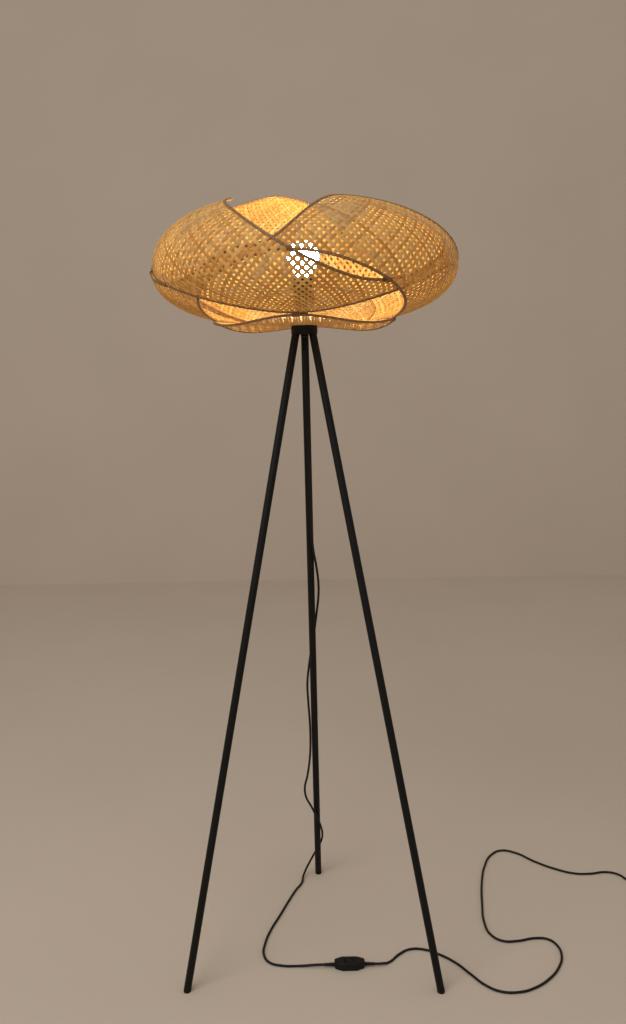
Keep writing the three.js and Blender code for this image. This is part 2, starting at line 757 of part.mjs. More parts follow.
// One unbroken tube through rings of points, with flat ends
function windingTube(points, radius, sides) {
  const rings = points.map((point, i) => {
    const way = points[Math.min(i + 1, points.length - 1)].clone().sub(points[Math.max(i - 1, 0)]).normalize();
    const across = new THREE.Vector3(0, 0, 1).cross(way).normalize();
    const up = way.clone().cross(across);
    return Array.from({ length: sides }, (unused, side) => {
      const angle = ((side + 0.5) / sides) * turn;
      const corner = point.clone().addScaledVector(across, radius * Math.cos(angle));
      return corner.addScaledVector(up, radius * Math.sin(angle));
    });
  });
  const triangles = [];
  for (let i = 0; i + 1 < rings.length; i += 1) {
    for (let side = 0; side < sides; side += 1) {
      const next = (side + 1) % sides;
      const [a, b, c, d] = [i * sides + side, i * sides + next, (i + 1) * sides + next, (i + 1) * sides + side];
      triangles.push(a, b, c, a, c, d);
    }
  }
  const last = (rings.length - 1) * sides;
  for (let side = 1; side + 1 < sides; side += 1) {
    triangles.push(0, side + 1, side, last, last + side, last + side + 1);
  }
  return meshOf(rings.flat(), triangles);
}

function leastGap(points, radius, ownTurnPoints) {
  let least = Infinity;
  for (let i = 0; i < points.length; i += 1) {
    for (let j = i + ownTurnPoints; j < points.length; j += 1) {
      least = Math.min(least, points[i].distanceTo(points[j]) - radius * 2);
    }
  }
  return least;
}

const coilStart = coilPoint(0);
const coilEnd = coilPoint(coilTurns * turn);
const plugWay = coilTangent(coilTurns * turn);
const plugMouth = coilEnd.clone().addScaledVector(plugWay, cordRadius * 16);
plugMouth.z = plugHeight / 2;

function coil() {
  const steps = 24 * coilTurns;
  const turns = Array.from({ length: steps + 1 }, (unused, step) => coilPoint((step / steps) * coilTurns * turn));
  const lead = straightFrom(coilStart, coilTangent(0), [-cordRadius * 2]);
  const leave = [0.35, 0.7].map((share) => coilEnd.clone().lerp(plugMouth, share));
  const end = straightFrom(plugMouth, plugWay, [-cordRadius * 2 - seatGap, -seatGap]);
  const least = leastGap(turns, cordRadius, 12);
  console.log(`cord_coil least gap to itself ${least.toFixed(2)} mm`);
  return windingTube([...lead, ...turns, ...leave, ...end], cordRadius, 6);
}

function coilTie() {
  const angle = turn / 3;
  const inner = coilInnerRadius - cordRadius - runGap;
  const outer = coilInnerRadius + coilPitch * coilTurns / 2 + cordRadius + runGap;
  const low = coilLift - runGap;
  const high = coilLift + coilPitch + cordRadius * 2 + runGap;
  const frame = (grow) => [
    [inner - grow, low - grow], [outer + grow, low - grow], [outer + grow, high + grow], [inner - grow, high + grow],
  ];
  const shape = new THREE.Shape(frame(tieThickness).map(([x, y]) => new THREE.Vector2(x, y)));
  shape.holes.push(new THREE.Path(frame(0).map(([x, y]) => new THREE.Vector2(x, y))));
  const geometry = new THREE.ExtrudeGeometry(shape, { depth: tieWidth, bevelEnabled: false });
  geometry.translate(0, 0, -tieWidth / 2);
  geometry.rotateX(Math.PI / 2);
  geometry.rotateZ(coilTurn - angle);
  geometry.translate(coilCentre.x, coilCentre.y, 0);
  return facingOut(plain(geometry));
}

function plugOutline() {
  const [half, neck] = [plugWidth / 2, plugNeckWidth / 2];
  const shoulderShare = 0.45;
  return [
    [0, -neck], [plugLength * shoulderShare, -half], [plugLength, -half], [plugLength, half],
    [plugLength * shoulderShare, half], [0, neck],
  ];
}

function plug() {
  const group = new THREE.Group();
  group.position.set(plugMouth.x, plugMouth.y, 0);
  group.rotation.z = Math.atan2(plugWay.y, plugWay.x);
  lamp.add(group);
  const bodyLow = cordFloorGap;
  const casing = prism(plugOutline(), plugHeight - bodyLow * 2, plugBevel);
  casing.translate(plugSleeveLength - seatGap, 0, bodyLow);
  const sleeve = turned([
    [0, 0], [plugSleeveRadius * 0.75, 0], [plugSleeveRadius, plugSleeveLength + seatGap],
    [0, plugSleeveLength + seatGap],
  ], 12);
  sleeve.rotateY(Math.PI / 2);
  sleeve.translate(0, 0, plugHeight / 2);
  const seats = [-1, 1].map((side) => {
    const seat = rod(plugPinRadius + seatGap, 0, plugPinLength, 10);
    seat.rotateY(Math.PI / 2);
    seat.translate(plugSleeveLength + plugLength - cutOverrun, side * plugPinSpacing / 2, plugHeight / 2);
    return seat;
  });
  add('plug_body', cut(joined(casing, sleeve), seats), blackPlastic, group);
  ['left', 'right'].forEach((name, number) => {
    const pin = turned([
      [0, 0], [plugPinRadius, 0], [plugPinRadius, plugPinLength - plugPinRadius / 2],
      [plugPinRadius / 2, plugPinLength], [0, plugPinLength],
    ], 10);
    pin.rotateY(Math.PI / 2);
    const start = plugSleeveLength + plugLength - cutOverrun + seatGap;
    pin.translate(start, (number - 0.5) * plugPinSpacing, plugHeight / 2);
    add(`plug_pin_${name}`, pin, steel, group);
  });
}

// Inline switch: two half shells that taper to the cord, and a rocker on two pins

function switchOutline(inset) {
  const [half, end] = [switchWidth / 2 - inset, switchEndWidth / 2 - inset];
  const reach = switchLength / 2 - inset;
  const shoulder = switchLength / 4;
  return [
    [-reach, -end], [-shoulder, -half], [shoulder, -half], [reach, -end], [reach, end], [shoulder, half],
    [-shoulder, half], [-reach, end],
  ];
}

const rockerAxis = switchHeight - rockerPinDrop;

// A tapered sleeve at each end holds the cord. The base carries it below the split.
function switchSleeve(side) {
  const end = switchLength / 2 + seatGap;
  const sleeve = turned([
    [0, -gripSeat], [switchSleeveRadius, -gripSeat], [switchSleeveRadius, seatGap],
    [switchSleeveRadius * 0.75, switchSleeveLength], [0, switchSleeveLength],
  ], 12);
  sleeve.rotateY(side * turn / 4);
  sleeve.translate(side * end, 0, switchSplit);
  const above = new THREE.BoxGeometry(gripSeat + cutOverrun, switchWidth, switchHeight);
  above.translate(side * (end - (gripSeat + cutOverrun) / 2), 0, switchSplit + switchHeight / 2);
  return cut(sleeve, [facingOut(plain(above))]);
}

function switchHalves() {
  const group = new THREE.Group();
  group.position.copy(switchPosition);
  lamp.add(group);
  const inset = switchBevel / 2;
  const windowHalf = rockerLength / 2 + rockerWindowGap;
  const pocket = new THREE.BoxGeometry(windowHalf * 2, rockerWidth + runGap * 2, switchHeight);
  const wellFloor = rockerAxis - rockerDepth - rockerRise;
  const well = pocket.clone().translate(0, 0, wellFloor + switchHeight / 2);
  const base = cut(prism(switchOutline(inset), switchSplit, switchBevel), [facingOut(plain(well))]);
  const sleeved = [-1, 1].reduce((body, side) => joined(body, switchSleeve(side)), base);
  add('switch_base', sleeved, blackPlastic, group);
  const coverHeight = switchHeight - switchSplit - seatGap;
  const cover = prism(switchOutline(0), coverHeight, switchBevel);
  cover.translate(0, 0, switchSplit + seatGap);
  const pinHole = rod(rockerPinRadius + rockerPinGap, -switchWidth / 4, switchWidth / 4, 16);
  pinHole.rotateX(Math.PI / 2);
  pinHole.translate(0, 0, rockerAxis);
  add('switch_cover', cut(cover, [facingOut(plain(well.clone())), pinHole]), blackPlastic, group);
  add('switch_rocker', rocker(), blackPlastic, group);
}

function rocker() {
  const half = rockerLength / 2;
  const dip = rockerRise / 2;
  const side = [
    [-half, rockerRise], [0, dip], [half, rockerRise], [half, -rockerDepth / 3], [0, -rockerDepth],
    [-half, -rockerDepth / 3],
  ];
  const body = prism(side, rockerWidth);
  body.translate(0, 0, -rockerWidth / 2);
  body.rotateX(Math.PI / 2);
  const reach = rockerWidth / 2 + rockerPinReach;
  const pins = rod(rockerPinRadius, -reach, reach, 16);
  pins.rotateX(Math.PI / 2);
  const whole = joined(body, pins);
  whole.rotateY(rockerTilt);
  whole.translate(0, 0, rockerAxis);
  return whole;
}

function cord() {
  const down = new THREE.Vector3(0, 0, -1);
  const right = new THREE.Vector3(1, 0, 0);
  const start = straightFrom(new THREE.Vector3(0, 0, gripExit), down, [0, straightRun * 2]);
  const arrive = straightFrom(switchExit(-1), right, [-straightRun, -seatGap]);
  const lampSide = [...start, ...legSidePoints.map(legSide), ...floorToSwitchPoints.map(onFloor), ...arrive];
  add('cord_lamp_side', swept(lampSide, cordRadius, 76, 8), blackPlastic);
  const leave = straightFrom(switchExit(1), right, [seatGap, straightRun]);
  const meet = straightFrom(coilStart, coilTangent(0), [-cordRadius * 8, -cordRadius * 2 - seatGap]);
  const plugSide = [...leave, ...floorToCoilPoints.map(onFloor), ...meet];
  add('cord_plug_side', swept(plugSide, cordRadius, 60, 8), blackPlastic);
  add('cord_coil', coil(), blackPlastic);
  add('coil_tie', coilTie(), blackPlastic);
}

stand();
clampStack();
lampHolder();
bulb();
shade();
switchHalves();
cord();
plug();

export default lamp;
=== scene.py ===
import bisect
import math
import random

import bpy
from mathutils import Matrix, Vector


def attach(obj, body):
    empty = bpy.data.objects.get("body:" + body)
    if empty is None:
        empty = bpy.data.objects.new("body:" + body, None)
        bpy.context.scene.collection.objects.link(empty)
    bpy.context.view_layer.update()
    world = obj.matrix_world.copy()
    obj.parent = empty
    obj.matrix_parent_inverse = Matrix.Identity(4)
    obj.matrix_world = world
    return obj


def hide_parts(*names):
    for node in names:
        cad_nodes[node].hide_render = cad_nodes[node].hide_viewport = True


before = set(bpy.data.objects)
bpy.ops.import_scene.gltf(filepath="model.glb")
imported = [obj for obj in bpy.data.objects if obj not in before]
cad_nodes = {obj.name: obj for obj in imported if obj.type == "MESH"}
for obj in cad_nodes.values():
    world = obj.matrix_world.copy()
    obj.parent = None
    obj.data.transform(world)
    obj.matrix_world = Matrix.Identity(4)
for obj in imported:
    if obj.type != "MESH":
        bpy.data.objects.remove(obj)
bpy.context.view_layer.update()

mm = 0.001
degree = math.pi / 180
turn = math.pi * 2

# Camera. It stands 1.8 m in front of the lamp at 1.2 m height, looks down by eight degrees and is
# tipped by one degree, as in the photograph.
camera_place = (0.0107, -1.781, 1.198)
camera_pitch = 81.75 * degree
camera_roll = -0.99 * degree
bpy.ops.object.select_all(action="DESELECT")
bpy.ops.object.camera_add()
camera = bpy.context.object
camera.name = "camera"
camera.data.sensor_width = 36
camera.data.lens = 31.75
camera.matrix_world = (
    Matrix.Translation(camera_place)
    @ Matrix.Rotation(camera_pitch, 4, "X")
    @ Matrix.Rotation(camera_roll, 4, "Z")
)
bpy.context.scene.camera = camera
bpy.context.scene.view_settings.view_transform = "Standard"

# Cord. Black PVC mains cord, 5 mm thick. It drops from the grip under the hub, winds loosely round the
# back leg and crosses the floor to the inline switch. From there it wanders to the plug, and its last
# 0.8 m lie in a small coil.
cord_width = 5.0
cord_level = 2.8
cord_in_switch = 12.0
straight_out = cord_width * 2.5
feet_radius = 291.0
leg_top_radius = 19.0
hub_underside = 1288.0
leg_lean = math.atan2(feet_radius - leg_top_radius, hub_underside)
leg_bearings = [88.3 * degree, 208.3 * degree, 328.3 * degree]
# Right of the back leg, behind it, and height
beside_back_leg = [
    (1, -12, 1150), (2, -11, 1040), (3, -11, 930), (6, -10.5, 849), (12, -6, 807), (16, 0, 763),
    (15, 5, 731), (10, 9, 690), (4, 12, 645), (-4, 12, 600), (-10, 8, 560), (-14, 2, 524), (-13, -2, 475),
    (-11, -4, 431), (-10.5, -5, 381), (-13, -5, 332), (-20, -5, 282), (-27, -7, 249), (-24, -10, 225),
    (-12, -13, 200), (-2, -13, 175), (8, -9, 145), (12, 0, 114), (8, 9, 88), (-2, 13, 64), (-16, 9, 38),
    (-30, -6, 16), (-37, -24, 6.5),
]
floor_to_switch = [
    (-31, 246), (-45, 214), (-60, 172), (-80, 110), (-97, 60), (-108, 10), (-109, -30), (-96, -56),
    (-70, -67), (-35, -69),
]
floor_to_coil = [
    (152, -62), (176, -36), (200, -20), (228, -21), (262, -41), (290, -68), (314, -104), (338, -139),
    (364, -158), (400, -161), (434, -149), (469, -123), (498, -87), (514, -48), (513, -14), (500, 6),
    (475, 11), (433, 2), (402, 3), (381, 25), (375, 70), (383, 139), (401, 238), (420, 304), (446, 356),
    (477, 378), (510, 365), (548, 322), (590, 286), (632, 264), (671, 262), (706, 268), (733, 258),
    (748, 232), (766, 205),
]
switch_centre = Vector((70, -72, 0))
switch_half_length = 31.0
switch_split = 7.0
switch_sleeve_length = 20.0
seat_gap = 0.3
grip_exit = Vector((0, 0, 1259.4))
coil_centre = Vector((826, 150))
coil_bearing = 62 * degree
coil_inner = 21.5
coil_pitch = 5.6
coil_lift = 1.6
coil_turns = 4
knots_a_turn = 24
plug_height = 14.0


def leg_side(beside, behind, height):
    radius = feet_radius - height * math.tan(leg_lean)
    bearing = leg_bearings[0]
    return Vector((radius * math.cos(bearing) + beside, radius * math.sin(bearing) + behind, height))


def coil_point(angle):
    middle = coil_turns * turn / 2
    radius = coil_inner + coil_pitch * abs(angle - middle) / turn
    climb = min(1, max(0, (angle - middle) / (turn / 2) + 0.5))
    way = coil_bearing - angle
    height = cord_width / 2 + coil_lift + coil_pitch * climb
    return Vector((coil_centre.x + radius * math.cos(way), coil_centre.y + radius * math.sin(way), height))


def coil_way(angle):
    way = coil_point(angle + 0.001) - coil_point(angle - 0.001)
    way.z = 0
    return way.normalized()


def cord_line(name, points):
    curve = bpy.data.curves.new(name, "CURVE")
    curve.dimensions = "3D"
    curve.bevel_depth = cord_width / 2 * mm
    curve.bevel_resolution = 4
    curve.resolution_u = 6
    curve.use_fill_caps = True
    spline = curve.splines.new("BEZIER")
    spline.bezier_points.add(len(points) - 1)
    for knot, point in zip(spline.bezier_points, points):
        knot.co = point * mm
        knot.handle_left_type = knot.handle_right_type = "AUTO"
    line = bpy.data.objects.new(name, curve)
    bpy.context.collection.objects.link(line)
    return line


def length_of(points):
    return sum((after - before).length for before, after in zip(points, points[1:])) * mm


class Grade:
    """A value that varies over a surface. Sums and products of it become Math nodes."""

    def __init__(self, finish, socket):
        self.finish = finish
        self.socket = socket

    def math(self, operation, first, second):
        return self.finish.node("ShaderNodeMath", {"operation": operation}, {0: first, 1: second})

    def __add__(self, other):
        return self.math("ADD", self, other)

    def __radd__(self, other):
        return self.math("ADD", other, self)

    def __sub__(self, other):
        return self.math("SUBTRACT", self, other)

    def __rsub__(self, other):
        return self.math("SUBTRACT", other, self)

    def __mul__(self, other):
        return self.math("MULTIPLY", self, other)

    def __rmul__(self, other):
        return self.math("MULTIPLY", other, self)

    def __truediv__(self, other):
        return self.math("DIVIDE", self, other)

    def __rtruediv__(self, other):
        return self.math("DIVIDE", other, self)


class Finish:
    """One material: its shader with the values that are the same all over, and nodes for the rest."""

    def __init__(self, name, constants):
        self.material = bpy.data.materials.new(name)
        self.material.use_nodes = True
        self.tree = self.material.node_tree
        self.shader = self.tree.nodes["Principled BSDF"]
        self.surface(constants)

    def fill(self, node, sockets):
        for name, value in sockets.items():
            if isinstance(value, Grade):
                self.tree.links.new(value.socket, node.inputs[name])
            else:
                node.inputs[name].default_value = value

    def node(self, kind, settings, sockets, output=0):
        node = self.tree.nodes.new(kind)
        for name, value in settings.items():
            if name == "stops":
                ramp = node.color_ramp.elements
                while len(ramp) < len(value):
                    ramp.new(0.5)
                for stop, (place, colour) in zip(ramp, value):
                    stop.position = place
                    stop.color = (*colour, 1)
            else:
                setattr(node, name, value)
        self.fill(node, sockets)
        return Grade(self, node.outputs[output])

    def place(self, stretch=(1, 1, 1), chart=None):
        """Object coordinates, or the piece's own map where a chart is named, stretched."""
        if chart:
            start = self.node("ShaderNodeUVMap", {"uv_map": chart}, {})
        else:
            start = self.node("ShaderNodeTexCoord", {}, {}, "Object")
        return self.node("ShaderNodeMapping", {}, {"Vector": start, "Scale": stretch})

    def noise(self, place, scale, detail):
        return self.node("ShaderNodeTexNoise", {}, {"Vector": place, "Scale": scale, "Detail": detail})

    def between(self, share, first, second):
        """A colour between two others, which are colours or such mixtures."""
        first, second = [(*c, 1) if isinstance(c, tuple) else c for c in (first, second)]
        return self.node("ShaderNodeMix", {"data_type": "RGBA"}, {0: share, 6: first, 7: second}, 2)

    def ramp(self, share, stops):
        return self.node("ShaderNodeValToRGB", {"stops": stops}, {"Fac": share})

    def surface(self, sockets):
        self.fill(self.shader, sockets)

    def relief(self, height, depth):
        bump = self.node("ShaderNodeBump", {}, {"Height": height, "Distance": depth * mm, "Strength": 1.0})
        self.surface({"Normal": bump})

    def give(self, *pieces):
        for piece in pieces:
            piece.data.materials.clear()
            piece.data.materials.append(self.material)


def clouded(name, constants, clouds, colours, roughness=None, depth=None, stipple=None, stretch=(1, 1, 1)):
    """A finish between two colours in soft clouds of (scale, detail). Its roughness starts at one value
    and grows by another with the clouds. Its relief is a finer stipple, or the clouds themselves."""
    finish = Finish(name, constants)
    cloud = finish.noise(finish.place(stretch), *clouds)
    finish.surface({"Base Color": finish.between(cloud, *colours)})
    if roughness:
        finish.surface({"Roughness": roughness[0] + cloud * roughness[1]})
    if depth:
        finish.relief(finish.noise(finish.place(), *stipple) if stipple else cloud, depth)
    return finish


along_x = Vector((1, 0, 0))
switch_reach = switch_half_length + seat_gap + switch_sleeve_length
switch_left = switch_centre + Vector((-switch_reach, 0, switch_split))
switch_right = switch_centre + Vector((switch_reach, 0, switch_split))
lamp_route = [grip_exit, grip_exit - Vector((0, 0, straight_out * 2))]
lamp_route += [leg_side(*place) for place in beside_back_leg]
lamp_route += [Vector((x, y, cord_level)) for x, y in floor_to_switch]
lamp_route += [switch_left + along_x * run for run in (-straight_out, -seat_gap, cord_in_switch)]
coil_end_angle = coil_turns * turn
coil_start = coil_point(0)
coil_end = coil_point(coil_end_angle)
plug_way = coil_way(coil_end_angle)
plug_mouth = coil_end + plug_way * cord_width * 8
plug_mouth.z = plug_height / 2
plug_route = [switch_right + along_x * run for run in (seat_gap, straight_out)]
plug_route += [Vector((x, y, cord_level)) for x, y in floor_to_coil]
plug_route += [coil_start - coil_way(0) * cord_width * widths for widths in (4, 2)]
plug_route += [coil_point(step / knots_a_turn * turn) for step in range(knots_a_turn * coil_turns + 1)]
plug_route += [coil_end.lerp(plug_mouth, share) for share in (0.35, 0.7)]
plug_route += [plug_mouth - plug_way * cord_width * 2, plug_mouth - plug_way * seat_gap]

cord_sheath = clouded(
    "cord_sheath", {"Specular IOR Level": 0.2}, (35.0, 4.0), ((0.006, 0.0055, 0.005), (0.014, 0.012, 0.010)),
    roughness=(0.34, 0.25), depth=0.05, stipple=(900.0, 3.0))
cord_lamp = cord_line("cord_lamp_line", lamp_route)
cord_plug = cord_line("cord_plug_line", plug_route)
for piece, solids in ((cord_lamp, ["cord_lamp_side"]), (cord_plug, ["cord_plug_side", "cord_coil"])):
    cord_sheath.give(piece)
    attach(piece, "lamp")
    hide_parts(*solids)

# Tripod. Three straight steel tubes, 15 mm thick, sit in angled sockets in the underside of a turned
# steel hub and are bolted from above. All is powder coated satin black; rubber plugs close the feet.
hub_thickness = 16.0
hub_radius = 25.5
hub_edge = 1.2
hub_bevel = 0.25
leg_radius = 7.5
leg_wall = 1.5
leg_rings = (320, 760)
socket_depth = 5.0
bolt_web = 4.0
bolt_radius = 2.8
bolt_head_radius = 5.0
bolt_head_height = 4.0
bolt_length = 30.0
bolt_key_radius = 2.9
foot_height = 9.0
foot_stem = 18.0
tube_bore = 5.2
stand_height = hub_underside + hub_thickness
leg_length = math.hypot(feet_radius - leg_top_radius, hub_underside)
socket_floor = leg_length + socket_depth
head_seat = socket_floor + bolt_web
leg_names = ["back", "front_left", "front_right"]


def around(radius, bearing, height=0.0):
    return Vector((radius * math.cos(bearing), radius * math.sin(bearing), height))


def moved(right, back, up):
    return Matrix.Translation((right * mm, back * mm, up * mm))


def turned_about(axis, angle):
    return Matrix.Rotation(angle, 4, axis)


def deselect():
    bpy.ops.object.select_all(action="DESELECT")


def take(piece):
    deselect()
    piece.select_set(True)
    bpy.context.view_layer.objects.active = piece


def edit(select=None, kind=None):
    bpy.ops.object.mode_set(mode="EDIT")
    if kind:
        bpy.ops.mesh.select_mode(type=kind)
    if select:
        bpy.ops.mesh.select_all(action=select)


def leave():
    bpy.ops.object.mode_set(mode="OBJECT")


def face_outward():
    edit("SELECT")
    bpy.ops.mesh.normals_make_consistent(inside=False)
    leave()


def extrude(run):
    bpy.ops.mesh.extrude_region_move(TRANSFORM_OT_translate={"value": run})


def settle(piece, name, place=None):
    """Puts a new piece at its place and leaves its object at the origin."""
    piece.name = name
    take(piece)
    if place:
        piece.matrix_world = place @ piece.matrix_world
    bpy.ops.object.transform_apply(location=True, rotation=True, scale=True)
    return piece


def turned(name, outline, facets=48, hollow=False, place=None):
    """A circle that is extruded and resized along an outline of (radius, height) pairs. A hollow
    outline runs up the outside and down the bore and closes on itself; a solid one gets flat ends,
    or a pole where its last radius is zero."""
    deselect()
    radius, height = outline[0]
    bpy.ops.mesh.primitive_circle_add(vertices=facets, radius=radius * mm, location=(0, 0, height * mm))
    piece = settle(bpy.context.object, name)
    edit("SELECT", "VERT")
    for next_radius, next_height in outline[1:]:
        extrude((0, 0, (next_height - height) * mm))
        if next_radius == 0:
            bpy.ops.mesh.merge(type="CENTER")
            break
        share = next_radius / radius
        if share != 1:
            bpy.ops.transform.resize(value=(share, share, 1), center_override=(0, 0, next_height * mm))
        radius, height = next_radius, next_height
    leave()
    points = piece.data.vertices
    first, last = range(facets), range(len(points) - facets, len(points))
    ends = [[*first, *last]] if hollow else [first] if outline[-1][0] == 0 else [first, last]
    for end in ends:
        for part in (*points, *piece.data.edges, *piece.data.polygons):
            part.select = False
        for number in end:
            points[number].select = True
        edit(kind="VERT")
        if hollow:
            bpy.ops.mesh.select_mode(type="EDGE")
            bpy.ops.mesh.bridge_edge_loops()
        else:
            bpy.ops.mesh.edge_face_add()
        leave()
    face_outward()
    return settle(piece, name, place)


def cut_away(piece, *cutters, operation="DIFFERENCE"):
    for cutter in cutters:
        change = piece.modifiers.new("cut", "BOOLEAN")
        change.operation = operation
        change.solver = "EXACT"
        change.object = cutter
        take(piece)
        bpy.ops.object.modifier_apply(modifier=change.name)
        bpy.data.objects.remove(cutter)


def soften(piece, width=0, steps=2, sharp=30):
    """Small round edges where faces meet sharply, and smooth shading on the rest."""
    take(piece)
    if width:
        change = piece.modifiers.new("edges", "BEVEL")
        change.width = width * mm
        change.segments = steps
        change.limit_method = "ANGLE"
        change.angle_limit = sharp * degree
        bpy.ops.object.modifier_apply(modifier=change.name)
    bpy.ops.object.shade_smooth_by_angle(angle=40 * degree)


def stands_for(piece, solid, finish, body="lamp"):
    finish.give(piece)
    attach(piece, body)
    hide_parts(solid)


def turned_part(name, solid, finish, outline, facets, edge=0, place=None, hollow=True):
    piece = turned(name, outline, facets, hollow, place)
    soften(piece, edge)
    stands_for(piece, solid, finish)


def near(radius, height, *steps):
    """Outline pairs, each told by how far in from a radius and how far up from a height."""
    return [(radius - inward, height + rise) for inward, rise in steps]


def ribs(lows, radius_at, *steps):
    """Outline pairs of equal ribs that start at the given heights."""
    return [pair for low in lows for pair in near(radius_at(low), low, *steps)]


def rod(name, radius, low, high, facets, place=None):
    return turned(name, [(radius, low), (radius, high)], facets, False, place)


powder_coat = clouded(
    "powder_coat", {"Metallic": 0.0, "Specular IOR Level": 0.16}, (14.0, 5.0),
    ((0.0045, 0.0042, 0.0040), (0.010, 0.0092, 0.0085)),
    roughness=(0.44, 0.16), depth=0.06, stipple=(1500.0, 2.0))
rubber = clouded(
    "rubber", {"Specular IOR Level": 0.15}, (120.0, 4.0), ((0.006, 0.006, 0.006), (0.016, 0.015, 0.014)),
    roughness=(0.62, 0.25), depth=0.08)
zinc = clouded(
    "zinc", {"Metallic": 1.0}, (260.0, 4.0), ((0.50, 0.50, 0.49), (0.66, 0.66, 0.64)),
    roughness=(0.26, 0.2), depth=0.02, stretch=(1, 1, 8))

leg_frames = []
for bearing in leg_bearings:
    foot_place = Matrix.Translation(around(1, bearing) * feet_radius * mm)
    leg_frames.append(foot_place @ turned_about("Z", bearing) @ turned_about("Y", -leg_lean))
hub = turned("hub_turned", [
    (hub_radius - hub_edge, hub_underside), (hub_radius, hub_underside + hub_edge),
    (hub_radius, stand_height - hub_edge), (hub_radius - hub_edge, stand_height)], 96)
hub_tools = [rod("bore", tube_bore, hub_underside - 4, stand_height + 4, 32)]
for place in leg_frames:
    for radius, low, high in (
            (leg_radius + seat_gap, leg_length - 8, socket_floor),
            (bolt_radius + seat_gap, leg_length, head_seat + 4),
            (bolt_head_radius + seat_gap * 2, head_seat, head_seat + hub_thickness)):
        hub_tools.append(rod("tool", radius, low, high, 48, place))
cut_away(hub, *hub_tools)
soften(hub, hub_bevel)
stands_for(hub, "hub", powder_coat)

tube_low = foot_height + seat_gap
tube_top = socket_floor - seat_gap
inside = leg_radius - leg_wall
stem = inside - seat_gap
stem_top = foot_height + foot_stem
head_low = head_seat + seat_gap
head_top = head_low + bolt_head_height
bolt_low = head_low - bolt_length
for name, place in zip(leg_names, leg_frames):
    turned_part(f"tube_{name}", f"leg_{name}", powder_coat, [
        *[(leg_radius, height) for height in (tube_low, *leg_rings, tube_top)],
        (inside, tube_top), (inside, tube_low)], 40, hub_bevel, place)

    foot = turned(f"plug_{name}", [
        *near(leg_radius, 0, (1, -4), (0.4, 1.6), (0, 2.4), (0, 4.2), (0.5, 4.5), (0.5, 5.1), (0, 5.4)),
        (leg_radius, foot_height), (stem, foot_height),
        *ribs((14, 20), lambda low: stem, (0, 0), (0.7, 0.6), (0, 1.2)),
        *near(stem, stem_top, (0, -1), (1, 0))], 36, False, place)
    edit("SELECT")
    bpy.ops.mesh.bisect(plane_co=(0, 0, 0), plane_no=(0, 0, 1), use_fill=True, clear_inner=True)
    leave()
    soften(foot)
    stands_for(foot, f"foot_{name}", rubber)

    bolt = turned(f"screw_{name}", [
        *near(bolt_radius, bolt_low, (0.5, 0), (0, 0.6)), (bolt_radius, head_low),
        (bolt_head_radius, head_low), *near(bolt_head_radius, head_top, (0, -0.5), (0.5, 0))],
        32, False, place)
    cut_away(bolt, rod("key", bolt_key_radius, head_low + 1.6, head_low + 8, 6, place))
    soften(bolt)
    stands_for(bolt, f"leg_bolt_{name}", zinc)
    zinc.give(cad_nodes[f"leg_nut_{name}"])

# Centre of the stand. A threaded tube passes the hub. Under the hub it carries a black hexagon nut and
# the ribbed rubber grip of the cord. Above, it clamps the woven dish between two washers and lifts the
# lamp holder on a spacer sleeve.
nut_height = 5.0
nut_radius = 8.0
washer_radius = 25.0
washer_thickness = 1.5
spacer_height = 19.0
spacer_radius = 8.0
grip_height = 26.0
grip_radius = 6.5
grip_tip_radius = 4.2
grip_collar = 7.0
grip_tip = 1.4
weave_thickness = 2.4
nut_foot = hub_underside - seat_gap - nut_height
nut_top = nut_foot + nut_height
grip_top = nut_foot - seat_gap
grip_foot = grip_top - grip_height
lower_washer_foot = stand_height + seat_gap
dish_floor = lower_washer_foot + washer_thickness + seat_gap + weave_thickness / 2
upper_washer_foot = dish_floor + weave_thickness / 2 + seat_gap
spacer_foot = upper_washer_foot + washer_thickness + seat_gap
holder_foot = spacer_foot + spacer_height + seat_gap

nut = rod("nut", nut_radius, nut_foot, nut_top, 6)
chamfer = turned("chamfer", [
    (nut_radius * 0.9, nut_foot - 0.01), (nut_radius * 1.03, nut_foot + 0.9),
    (nut_radius * 1.03, nut_top - 0.9), (nut_radius * 0.9, nut_top + 0.01)])
cut_away(nut, chamfer, operation="INTERSECT")
cut_away(nut, rod("bore", tube_bore, nut_foot - 2, nut_top + 2, 32))
soften(nut)
stands_for(nut, "tube_nut", powder_coat)
zinc.give(cad_nodes["threaded_tube"])

rib_count = 7
taper_top = grip_top - grip_collar
ribbed = taper_top - grip_foot - grip_tip
rib_pitch = ribbed / rib_count
widening = grip_radius - grip_tip_radius
grip_ribs = ribs(
    [grip_foot + grip_tip + ribbed * rib / rib_count for rib in range(rib_count)],
    lambda low: grip_tip_radius + widening * (low - grip_foot) / (taper_top - grip_foot),
    (0, 0), (0, rib_pitch * 0.55), (0.7, rib_pitch * 0.65), (0.7, rib_pitch * 0.9))
cord_bore = cord_width / 2 + seat_gap
turned_part("grip_ribbed", "cord_grip", rubber, [
    (cord_bore, grip_foot), *near(grip_tip_radius, grip_foot, (0.4, 0), (0, 0.5)), *grip_ribs,
    (grip_radius, taper_top), *near(grip_radius, grip_top, (0, -0.5), (0.5, 0)),
    (tube_bore, grip_top), (tube_bore, taper_top + seat_gap), (cord_bore, taper_top + seat_gap)], 40)

for name, solid, radius, low, height, facets, edge, slot, finish in (
        ("washer_lower", "dish_washer_lower", washer_radius, lower_washer_foot, washer_thickness, 64, 0.25,
         "steel", zinc),
        ("washer_upper", "dish_washer_upper", washer_radius, upper_washer_foot, washer_thickness, 64, 0.25,
         "steel", zinc),
        ("spacer", "spacer_sleeve", spacer_radius, spacer_foot, spacer_height, 48, 0.4,
         "black_metal", powder_coat)):
    turned_part(name, solid, finish, [
        (radius, low), (radius, low + height), (tube_bore, low + height), (tube_bore, low)], facets, edge)

